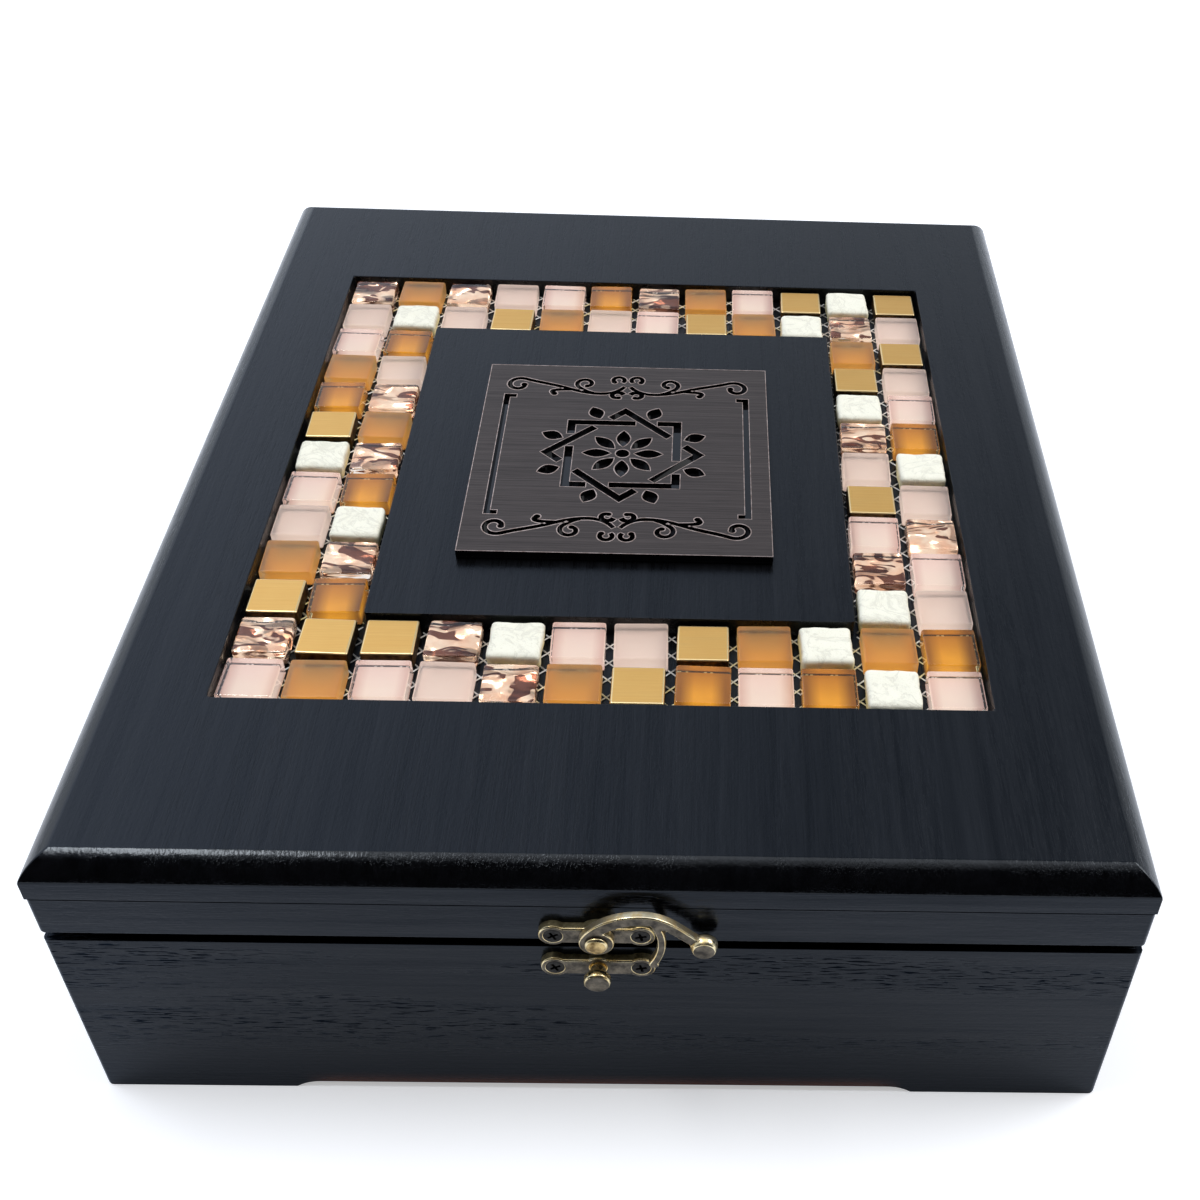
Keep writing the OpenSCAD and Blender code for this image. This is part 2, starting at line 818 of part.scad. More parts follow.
// Upper leaf: under the lid's back rail, with the middle knuckle and its stop heel
module hinge_lid_leaf(side) {
  color("#a48a55")
    difference() {
      at_hinge(side)
        difference() {
          union() {
            translate([-hinge_len / 2, -hinge_off - leaf_w, lid_gap / 2 - leaf_t])
              cube([hinge_len, leaf_w, leaf_t]);
            translate([-knuckle_mid / 2, -hinge_off, lid_gap / 2 - leaf_t])
              cube([knuckle_mid, hinge_off, leaf_t]);
            rotate([0, 90, 0]) cylinder(r = knuckle_r, h = knuckle_mid, center = true);
            rotate([lid_open - 90, 0, 0])
              translate([heel_step - knuckle_mid / 2, 0, heel_fit - hinge_off])
                cube([knuckle_mid - 2 * heel_step, knuckle_r - heel_step, hinge_off - heel_fit]);
          }
          hinge_bore();
        }
      at_lid_hinge_screws() hinge_screw(pin_fit);
    }
}

module hinge_pin(side) {
  color("#b89c62")
    at_hinge(side)
      rotate([0, 90, 0]) cylinder(r = hinge_pin_r, h = hinge_len, center = true);
}

module left_hinge_box_leaf() {
  hinge_box_leaf(-1);
}

module left_hinge_lid_leaf() {
  hinge_lid_leaf(-1);
}

module left_hinge_pin() {
  hinge_pin(-1);
}

module right_hinge_box_leaf() {
  hinge_box_leaf(1);
}

module right_hinge_lid_leaf() {
  hinge_lid_leaf(1);
}

module right_hinge_pin() {
  hinge_pin(1);
}

module hinge_screws_box() {
  color("#b89c62") at_box_hinge_screws() hinge_screw();
}

module hinge_screws_lid() {
  color("#b89c62") at_lid_hinge_screws() hinge_screw();
}

front_wall();
back_wall();
left_wall();
right_wall();
bottom_panel();
base_lining();
lid_bumpers();
lid_front_rail();
lid_back_rail();
lid_left_rail();
lid_right_rail();
lid_panel();
mosaic_net();
chips_rose_foil();
chips_frosted_pink();
chips_clear_pink();
chips_frosted_amber();
chips_clear_amber();
chips_brass();
chips_marble();
plaque_backing();
plaque_face();
hook_plate();
hook_rivet();
swing_hook();
latch_screws_lid();
catch_plate();
catch_knob();
latch_screws_box();
left_hinge_box_leaf();
left_hinge_lid_leaf();
left_hinge_pin();
right_hinge_box_leaf();
right_hinge_lid_leaf();
right_hinge_pin();
hinge_screws_box();
hinge_screws_lid();
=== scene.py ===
import math
import random

import bmesh
import bpy
from mathutils import Matrix, Vector, noise


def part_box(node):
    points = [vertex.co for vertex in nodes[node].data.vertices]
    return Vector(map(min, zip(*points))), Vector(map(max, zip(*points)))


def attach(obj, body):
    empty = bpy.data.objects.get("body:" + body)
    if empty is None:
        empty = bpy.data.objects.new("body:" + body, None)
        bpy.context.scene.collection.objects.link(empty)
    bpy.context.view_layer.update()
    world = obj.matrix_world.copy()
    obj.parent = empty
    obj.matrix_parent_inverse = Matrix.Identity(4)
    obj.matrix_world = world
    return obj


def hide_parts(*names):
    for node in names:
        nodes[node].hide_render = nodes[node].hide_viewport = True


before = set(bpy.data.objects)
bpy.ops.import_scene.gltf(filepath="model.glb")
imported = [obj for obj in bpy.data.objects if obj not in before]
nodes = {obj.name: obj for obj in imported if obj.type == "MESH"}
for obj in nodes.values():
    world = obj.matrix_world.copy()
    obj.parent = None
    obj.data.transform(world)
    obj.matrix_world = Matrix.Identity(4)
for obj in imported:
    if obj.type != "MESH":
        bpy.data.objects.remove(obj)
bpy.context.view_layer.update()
mm = 0.001
print("frame loaded:", len(nodes), "nodes")


# Camera and studio

photoCamera = {
    "place": (20.95, -391.6, 359.4),  # mm in the part's frame
    "turn": -2.555,  # degrees
    "tilt": 46.323,
    "roll": 2.773,
    "lens": 45.84,
    "sensor": 36,
    "shift": (-0.1168, 0.0856),
    "clip": (0.01, 50),
}

studio = {
    "floorColour": (0.9, 0.91, 0.93),
    "floorStain": 0.985,
    "floorGlow": 0.43,  # white that the camera sees on top of the lit paper
    "mirroredGlow": 0.06,  # and that a shiny surface sees
    "floorSize": 12.0,
    "floorCells": 8,
    "horizon": (0.8, 0.85, 0.92),
    "ceiling": (0.26, 0.32, 0.42),
    "leftCeiling": (1.0, 1.15, 1.45),
    "zenith": (1.6, 1.62, 1.7),
    "front": (0.02, 0.02, 0.024),  # the dim room on the photographer's side
    "backdrop": (0.96, 0.97, 1.0),
    # Where each part of the sky begins and where it is full, along its axis
    "leftwardX": (0.1, -0.4),
    "ceilingZ": (0.04, 0.75),
    "zenithZ": (0.86, 0.95),
    "frontY": (0.0, -0.35),
    "lamps": {
        "stripSoftbox": {"place": (-0.52, -0.1, 1.25), "size": (0.55, 0.22), "power": 4.5},
        "sideSoftbox": {"place": (1.2, 0.2, 1.2), "size": (0.9, 0.9), "power": 14.0},
    },
}


def rotation(degrees, axis):
    return Matrix.Rotation(math.radians(degrees), 4, axis)


def makeCamera(values):
    lens = bpy.data.cameras.new("photoCamera")
    lens.sensor_width = values["sensor"]
    lens.lens = values["lens"]
    lens.shift_x, lens.shift_y = values["shift"]
    lens.clip_start, lens.clip_end = values["clip"]
    camera = bpy.data.objects.new("photoCamera", lens)
    turned = rotation(values["turn"], "Z") @ rotation(values["tilt"], "X") @ rotation(values["roll"], "Z")
    camera.rotation_euler = turned.to_euler()
    camera.location = Vector(values["place"]) * mm
    bpy.context.scene.collection.objects.link(camera)
    bpy.context.scene.camera = camera


def makeLamp(name, values):
    lamp = bpy.data.lights.new(name, "AREA")
    lamp.shape = "RECTANGLE"
    lamp.size, lamp.size_y = values["size"]
    lamp.energy = values["power"]
    holder = bpy.data.objects.new(name, lamp)
    place = Vector(values["place"])
    holder.location = place
    holder.rotation_euler = (-place).to_track_quat("-Z", "Y").to_euler()
    bpy.context.scene.collection.objects.link(holder)


# Node helpers

def feed(tree, socket, value):
    if isinstance(value, bpy.types.NodeSocket):
        tree.links.new(value, socket)
    else:
        socket.default_value = value


def feedAll(tree, node, values):
    for name, value in values.items():
        feed(tree, node.inputs[name], value)


def addNode(tree, kind, values=None, **settings):
    node = tree.nodes.new("ShaderNode" + kind)
    for name, value in settings.items():
        setattr(node, name, value)
    feedAll(tree, node, values or {})
    return node


def rgba(colour):
    return (*colour, 1.0)


def mixColour(tree, factor, first, second):
    node = addNode(tree, "Mix", data_type="RGBA")
    for place, value in ((0, factor), (6, first), (7, second)):
        feed(tree, node.inputs[place], rgba(value) if isinstance(value, tuple) else value)
    return node.outputs[2]


def remap(tree, value, low, high, toLow=0.0, toHigh=1.0):
    values = {"Value": value, "From Min": low, "From Max": high, "To Min": toLow, "To Max": toHigh}
    return addNode(tree, "MapRange", values).outputs["Result"]


def compute(tree, operation, first, second=0.0):
    node = addNode(tree, "Math", operation=operation)
    feed(tree, node.inputs[0], first)
    feed(tree, node.inputs[1], second)
    return node.outputs[0]


def weighted(tree, first, firstShare, second, secondShare):
    return compute(tree, "ADD", compute(tree, "MULTIPLY", first, firstShare),
                   compute(tree, "MULTIPLY", second, secondShare))


def scaledNoise(tree, vector, scale, detail=3.0, rough=0.55, distortion=0.0):
    stretched = addNode(tree, "Mapping", {"Vector": vector, "Scale": scale})
    values = {"Vector": stretched.outputs[0], "Scale": 1.0, "Detail": detail,
              "Roughness": rough, "Distortion": distortion}
    return addNode(tree, "TexNoise", values).outputs["Fac"]


def bumped(tree, height, strength, distance):
    values = {"Height": height, "Strength": strength, "Distance": distance}
    return addNode(tree, "Bump", values).outputs["Normal"]


def objectVector(tree, turn=0.0):
    coordinates = addNode(tree, "TexCoord").outputs["Object"]
    turned = addNode(tree, "Mapping", {"Vector": coordinates, "Rotation": (0, 0, turn)})
    return turned.outputs[0]


def newGroup(name, inputs, outputs):
    group = bpy.data.node_groups.new(name, "ShaderNodeTree")
    for direction, sockets in (("INPUT", inputs), ("OUTPUT", outputs)):
        for socket, kind in sockets.items():
            group.interface.new_socket(socket, in_out=direction, socket_type="NodeSocket" + kind)
    return group, group.nodes.new("NodeGroupInput").outputs, group.nodes.new("NodeGroupOutput").inputs


def useGroup(tree, group, values):
    node = tree.nodes.new("ShaderNodeGroup")
    node.node_tree = group
    feedAll(tree, node, values)
    return node.outputs


def newMaterial(name):
    material = bpy.data.materials.new(name)
    material.use_nodes = True
    return material, material.node_tree, material.node_tree.nodes["Principled BSDF"]


# Shared effects

def makeGrainGroup():
    group, given, made = newGroup(
        "openGrain", {"Vector": "Vector", "Pores": "Float"},
        {"Tone": "Float", "Pore": "Float", "Height": "Float"})
    vector = given["Vector"]
    streak = scaledNoise(group, vector, scale=(9, 300, 300), detail=5.0, rough=0.62)
    fine = scaledNoise(group, vector, scale=(60, 1900, 1900), detail=3.0, rough=0.6)
    dash = scaledNoise(group, vector, scale=(150, 2000, 2000), detail=2.5, rough=0.55)
    bands = scaledNoise(group, vector, scale=(5, 62, 62), detail=2.0, rough=0.5)
    fleck = scaledNoise(group, vector, scale=(700, 1000, 1000), detail=2.0, rough=0.6)
    patch = remap(group, bands, 0.42, 0.52)
    pore = compute(group, "MULTIPLY", remap(group, dash, 0.545, 0.585), patch)
    pore = compute(group, "MULTIPLY", pore, given["Pores"])
    tone = weighted(group, streak, 0.65, fine, 0.35)
    relief = compute(group, "ADD", tone, compute(group, "MULTIPLY", fleck, 0.5))
    sunk = compute(group, "MULTIPLY", pore, 1.6)
    feed(group, made["Tone"], remap(group, tone, 0.34, 0.66))
    feed(group, made["Pore"], pore)
    feed(group, made["Height"], compute(group, "SUBTRACT", relief, sunk))
    return group


def makeBrushGroup():
    group, given, made = newGroup("brushedLines", {"Vector": "Vector"}, {"Line": "Float"})
    long = scaledNoise(group, given["Vector"], scale=(12, 3300, 3300), detail=2.0, rough=0.6)
    short = scaledNoise(group, given["Vector"], scale=(90, 5200, 5200), detail=2.0, rough=0.6)
    line = weighted(group, long, 0.6, short, 0.4)
    feed(group, made["Line"], remap(group, line, 0.35, 0.66))
    return group


def makePatinaGroup():
    group, given, made = newGroup(
        "patina", {"Vector": "Vector", "Scale": "Float"}, {"Blotch": "Float", "Speck": "Float"})
    spread = addNode(group, "VectorMath", operation="SCALE")
    feed(group, spread.inputs[0], given["Vector"])
    feed(group, spread.inputs["Scale"], given["Scale"])
    blotch = scaledNoise(group, spread.outputs[0], scale=(1, 1, 1), detail=4.0, rough=0.6)
    speck = scaledNoise(group, spread.outputs[0], scale=(7, 7, 7), detail=2.0, rough=0.6)
    feed(group, made["Blotch"], remap(group, blotch, 0.36, 0.66))
    feed(group, made["Speck"], remap(group, speck, 0.56, 0.7))
    return group


def makeFeltGroup():
    group, given, made = newGroup(
        "feltFibres", {"Vector": "Vector"}, {"Fibre": "Float", "Cloud": "Float"})
    fibre = scaledNoise(group, given["Vector"], scale=(1700, 1700, 1700), rough=0.7, distortion=1.5)
    cloud = scaledNoise(group, given["Vector"], scale=(55, 55, 55), rough=0.6)
    feed(group, made["Fibre"], remap(group, fibre, 0.3, 0.7))
    feed(group, made["Cloud"], cloud)
    return group


openGrain = makeGrainGroup()
brushedLines = makeBrushGroup()
patina = makePatinaGroup()
feltFibres = makeFeltGroup()


def wornSkin(tree, scale, vector=None):
    if vector is None:
        vector = objectVector(tree)
    return useGroup(tree, patina, {"Vector": vector, "Scale": scale})


# Finishes

blackStain = {
    "dark": (0.0009, 0.0009, 0.0011),
    "light": (0.003, 0.0031, 0.0038),
    "pore": (0.0012, 0.0006, 0.0004),
    "poreRoughness": 0.4,
    "thin": (0.11, 0.034, 0.016),  # where the stain is rubbed thin over a cut-out
    "thinHeight": (0.008, 0.0028),  # m, where the rubbing begins and where it is full
    "thinFade": 0.004,  # m at either end of the cut-out
    "thinPower": 2.2,
    "poresAbove": (0.014, 0.03),  # the walls' open pores lie in their upper part
    "shadeBelow": (0.034, 0.006),  # and their lacquer's reflection is painted darker towards the feet, painted shade for the floor's contact shadow mirrored in it
    "shadeBelowAmount": 0.3,
    "grainDepth": 0.0004,
}

# Streaks are how much of the lacquer's shine the darker streaks lose. Tint is a bluish colour put on the
# lacquer's reflections, a painted reflection colour.
woodKinds = {
    "wall": {"pores": 1.0, "shine": (0.14, 0.24), "lacquer": 1.36, "streaks": 0.36, "bump": 0.2,
             "tint": (0.64, 0.78, 1.0)},
    "rail": {"pores": 0.2, "shine": (0.12, 0.2), "lacquer": 1.38, "streaks": 0.42, "bump": 0.2,
             "tint": (0.64, 0.78, 1.0)},
    "panel": {"pores": 0.12, "shine": (0.24, 0.34), "lacquer": 1.41, "streaks": 0.12, "bump": 0.26,
              "tint": (0.8, 0.89, 1.0)},
    "bevel": {"pores": 0.3, "shine": (0.09, 0.15), "lacquer": 1.46, "streaks": 0.3, "bump": 0.2,
              "tint": (0.84, 0.92, 1.0)},
}


def stainedWood(name, kind, turn, cutHalf=0.0):
    values = woodKinds[kind]
    material, tree, shader = newMaterial(name)
    vector = objectVector(tree, turn)
    place = addNode(tree, "SeparateXYZ", {"Vector": vector}).outputs
    pores = values["pores"]
    if cutHalf:
        pores = remap(tree, place["Z"], *blackStain["poresAbove"], 0.0, pores)
    grain = useGroup(tree, openGrain, {"Vector": vector, "Pores": pores})
    stain = mixColour(tree, grain["Tone"], blackStain["dark"], blackStain["light"])
    stain = mixColour(tree, grain["Pore"], stain, blackStain["pore"])
    streak = compute(tree, "MULTIPLY", remap(tree, grain["Tone"], 1.0, 0.0), values["streaks"])
    dead = compute(tree, "MAXIMUM", streak, grain["Pore"])
    if cutHalf:
        # painted shade: the lacquer's reflection is darkened towards the feet
        paintedShade = remap(tree, place["Z"], *blackStain["shadeBelow"], 0.0, blackStain["shadeBelowAmount"])
        dead = compute(tree, "MAXIMUM", dead, paintedShade)
        fade = blackStain["thinFade"]
        along = remap(tree, compute(tree, "ABSOLUTE", place["X"]), cutHalf + fade, cutHalf - fade)
        height = remap(tree, place["Z"], *blackStain["thinHeight"])
        thin = compute(tree, "MULTIPLY", along, compute(tree, "POWER", height, blackStain["thinPower"]))
        stain = mixColour(tree, thin, stain, blackStain["thin"])
        dead = compute(tree, "MULTIPLY", dead, remap(tree, thin, 1.0, 0.0))
    shine = remap(tree, grain["Tone"], 0.0, 1.0, *values["shine"])
    rough = compute(tree, "MULTIPLY", grain["Pore"], blackStain["poreRoughness"])
    feedAll(tree, shader, {
        "Base Color": stain,
        "Metallic": dead,
        "Roughness": compute(tree, "ADD", shine, rough),
        "Normal": bumped(tree, grain["Height"], values["bump"], blackStain["grainDepth"]),
        "IOR": values["lacquer"],
        # painted reflection: a bluish tint on the lacquer's reflections
        "Specular Tint": rgba(values["tint"]),
    })
    return material


def bareWood(name, turn, dark, light, pore, bump, depth, roughness):
    material, tree, shader = newMaterial(name)
    grain = useGroup(tree, openGrain, {"Vector": objectVector(tree, turn), "Pores": 1.0})
    colour = mixColour(tree, grain["Tone"], dark, light)
    if pore:
        colour = mixColour(tree, grain["Pore"], colour, pore)
    feedAll(tree, shader, {
        "Base Color": colour,
        "Normal": bumped(tree, grain["Height"], bump, depth),
        "Roughness": roughness,
    })
    return material


def felt(name, dark, light):
    material, tree, shader = newMaterial(name)
    fibres = useGroup(tree, feltFibres, {"Vector": objectVector(tree)})
    colour = mixColour(tree, fibres["Fibre"], dark, light)
    shade = remap(tree, fibres["Cloud"], 0.3, 0.7, 0.0, 0.35)
    feedAll(tree, shader, {
        "Base Color": mixColour(tree, shade, colour, dark),
        "Normal": bumped(tree, fibres["Fibre"], strength=0.7, distance=0.0005),
        "Roughness": 0.95,
        "Sheen Weight": 0.12,
    })
    return material


def netFibre(name, dark, light):
    material, tree, shader = newMaterial(name)
    coat = wornSkin(tree, 420.0)
    feedAll(tree, shader, {
        "Base Color": mixColour(tree, coat["Blotch"], dark, light),
        "Roughness": 0.4,
    })
    return material


glassLook = {"wear": 160.0, "paler": 1.04, "smoother": 0.8, "index": 1.5}


def chipGlass(name, tint, roughness):
    material, tree, shader = newMaterial(name)
    wear = wornSkin(tree, glassLook["wear"])
    pale = tuple(min(1.0, channel * glassLook["paler"]) for channel in tint)
    smooth = roughness * glassLook["smoother"]
    feedAll(tree, shader, {
        "Base Color": mixColour(tree, wear["Blotch"], tint, pale),
        "Roughness": remap(tree, wear["Blotch"], 0.0, 1.0, smooth, roughness),
        "Transmission Weight": 1.0,
        "IOR": glassLook["index"],
    })
    through = addNode(tree, "BsdfTransparent", {"Color": rgba(tint)})
    path = addNode(tree, "LightPath").outputs
    lit = compute(tree, "MAXIMUM", path["Is Shadow Ray"], path["Is Diffuse Ray"])
    mixed = addNode(tree, "MixShader", {"Fac": lit})
    tree.links.new(shader.outputs[0], mixed.inputs[1])
    tree.links.new(through.outputs[0], mixed.inputs[2])
    tree.links.new(mixed.outputs[0], tree.nodes["Material Output"].inputs["Surface"])
    return material


# Painted shade on the chips' paint: rim is where along the chip's width the darker sides begin and are full,
# far where along its depth the darker back edge does; cloud is random mottling towards the back colour.
paintLook = {"wear": 75.0, "rim": (0.5, 0.92), "far": (-0.3, 0.95), "cloud": 0.25, "roughness": 0.55}


def chipPaint(name, middle, shadedBorder, far, rim=paintLook["rim"]):
    material, tree, shader = newMaterial(name)
    wear = wornSkin(tree, paintLook["wear"])
    place = addNode(tree, "UVMap", uv_map="chipPlace").outputs["UV"]
    place = addNode(tree, "SeparateXYZ", {"Vector": place}).outputs
    # painted shade: the paint darkens towards the chip's sides and its back edge
    outward = remap(tree, compute(tree, "ABSOLUTE", place["X"]), *rim)
    back = remap(tree, place["Y"], *paintLook["far"])
    colour = mixColour(tree, back, middle, far)
    colour = mixColour(tree, outward, colour, shadedBorder)
    cloud = compute(tree, "MULTIPLY", wear["Blotch"], paintLook["cloud"])
    feedAll(tree, shader, {
        "Base Color": mixColour(tree, cloud, colour, far),
        "Roughness": paintLook["roughness"],
    })
    return material


# Dark brown patches painted on the foil: painted dark reflections of the room in its ripples.
foilLook = {"wear": 140.0, "darkReflectionScale": (95, 200, 60), "darkReflectionEdge": (0.51, 0.54)}


def chipFoil(name, dark, light, darkReflection):
    material, tree, shader = newMaterial(name)
    vector = objectVector(tree)
    wear = wornSkin(tree, foilLook["wear"], vector)
    colour = mixColour(tree, wear["Blotch"], dark, light)
    # painted reflection: dark patches where the rippled foil would mirror the dim room
    darkReflectionMask = scaledNoise(tree, vector, foilLook["darkReflectionScale"], detail=1.2, rough=0.5, distortion=1.5)
    feedAll(tree, shader, {
        "Base Color": mixColour(tree, remap(tree, darkReflectionMask, *foilLook["darkReflectionEdge"]), colour, darkReflection),
        "Metallic": 0.72,
        "Roughness": 0.16,
    })
    return material


def satinBrass(name, dark, light, roughness, bump):
    material, tree, shader = newMaterial(name)
    vector = objectVector(tree)
    lines = useGroup(tree, brushedLines, {"Vector": vector})
    wear = wornSkin(tree, 90.0, vector)
    tone = mixColour(tree, lines["Line"], dark, light)
    shade = compute(tree, "MULTIPLY", wear["Blotch"], 0.5)
    feedAll(tree, shader, {
        "Base Color": mixColour(tree, shade, tone, dark),
        "Roughness": remap(tree, lines["Line"], 0.0, 1.0, roughness + 0.08, roughness - 0.05),
        "Normal": bumped(tree, lines["Line"], bump, distance=0.0002),
        "Metallic": 1.0,
    })
    return material


marbleLook = {
    "lower": (0.9, 0.82, 0.42),  # the yellowish sides
    "upper": (0.93, 0.9, 0.74),
    "upperFrom": (0.0853, 0.0876),  # m above the table
    "vein": (0.72, 0.69, 0.56),
    "veinScale": (85, 85, 85),
    "veinWidth": 0.04,
    "veinShare": 0.65,
    "pit": (0.7, 0.63, 0.45),
    "pitScale": 420.0,
    "pitShare": 0.45,
}


def tumbledMarble(name):
    values = marbleLook
    material, tree, shader = newMaterial(name)
    vector = objectVector(tree)
    veins = scaledNoise(tree, vector, values["veinScale"], detail=6.0, rough=0.62, distortion=1.6)
    grit = wornSkin(tree, values["pitScale"], vector)
    height = addNode(tree, "SeparateXYZ", {"Vector": vector}).outputs["Z"]
    fromVein = compute(tree, "ABSOLUTE", compute(tree, "SUBTRACT", veins, 0.5))
    band = remap(tree, fromVein, 0.0, values["veinWidth"])
    stone = mixColour(tree, remap(tree, height, *values["upperFrom"]), values["lower"], values["upper"])
    line = compute(tree, "MULTIPLY", remap(tree, band, 1.0, 0.0), values["veinShare"])
    stone = mixColour(tree, line, stone, values["vein"])
    pits = compute(tree, "MULTIPLY", grit["Speck"], values["pitShare"])
    relief = compute(tree, "SUBTRACT", band, grit["Speck"])
    feedAll(tree, shader, {
        "Base Color": mixColour(tree, pits, stone, values["pit"]),
        "Normal": bumped(tree, relief, strength=0.25, distance=0.0003),
        "Roughness": 0.5,
    })
    return material


def glossBacking(name, dark, light):
    material, tree, shader = newMaterial(name)
    wear = wornSkin(tree, 300.0)
    feedAll(tree, shader, {
        "Base Color": mixColour(tree, wear["Blotch"], dark, light),
        "Roughness": remap(tree, wear["Speck"], 0.0, 1.0, 0.05, 0.16),
    })
    return material


def brushedBronze(name, dark, light, worn):
    material, tree, shader = newMaterial(name)
    vector = objectVector(tree)
    lines = useGroup(tree, brushedLines, {"Vector": vector})
    wear = wornSkin(tree, 60.0, vector)
    colour = mixColour(tree, lines["Line"], dark, light)
    shade = compute(tree, "MULTIPLY", wear["Blotch"], 0.25)
    feedAll(tree, shader, {
        "Base Color": mixColour(tree, shade, colour, worn),
        "Roughness": remap(tree, lines["Line"], 0.0, 1.0, 0.5, 0.36),
        "Normal": bumped(tree, lines["Line"], strength=0.2, distance=0.0002),
        "Metallic": 0.55,
    })
    return material


# Light coppery metal for the strips along the plaque's cuts: bare metal and a painted highlight on the edges.
def cutRim(name, dark, light):
    material, tree, shader = newMaterial(name)
    wear = wornSkin(tree, 500.0)
    feedAll(tree, shader, {
        "Base Color": mixColour(tree, wear["Blotch"], dark, light),
        "Metallic": 0.95,
        "Roughness": 0.28,
    })
    return material


def agedBrass(name, dark, light, roughness, metallic, pitting=0.6, bump=0.25):
    material, tree, shader = newMaterial(name)
    skin = wornSkin(tree, 420.0)
    colour = mixColour(tree, skin["Blotch"], dark, light)
    pits = compute(tree, "MULTIPLY", skin["Speck"], pitting)
    feedAll(tree, shader, {
        "Base Color": mixColour(tree, pits, colour, dark),
        "Roughness": remap(tree, skin["Blotch"], 0.0, 1.0, roughness + 0.12, roughness - 0.04),
        "Normal": bumped(tree, skin["Blotch"], bump, distance=0.0002),
        "Metallic": metallic,
    })
    return material


def blackenedSteel(name, dark, light):
    material, tree, shader = newMaterial(name)
    wear = wornSkin(tree, 700.0)
    feedAll(tree, shader, {
        "Base Color": mixColour(tree, wear["Blotch"], dark, light),
        "Roughness": remap(tree, wear["Speck"], 0.0, 1.0, 0.34, 0.5),
        "Metallic": 0.85,
    })
    return material


def paperFloor(name):
    material, tree, shader = newMaterial(name)
    wear = wornSkin(tree, 3.0)
    stained = tuple(channel * studio["floorStain"] for channel in studio["floorColour"])
    path = addNode(tree, "LightPath").outputs
    seen = compute(tree, "MAXIMUM", path["Is Camera Ray"], path["Is Transmission Ray"])
    seen = compute(tree, "MULTIPLY", seen, studio["floorGlow"])
    mirrored = compute(tree, "MULTIPLY", path["Is Glossy Ray"], studio["mirroredGlow"])
    feedAll(tree, shader, {
        "Base Color": mixColour(tree, wear["Blotch"], stained, studio["floorColour"]),
        "Roughness": 0.9,
        "Specular IOR Level": 0.1,
        "Emission Color": rgba((1.0, 1.0, 1.0)),
        "Emission Strength": compute(tree, "ADD", seen, mirrored),
    })
    return material


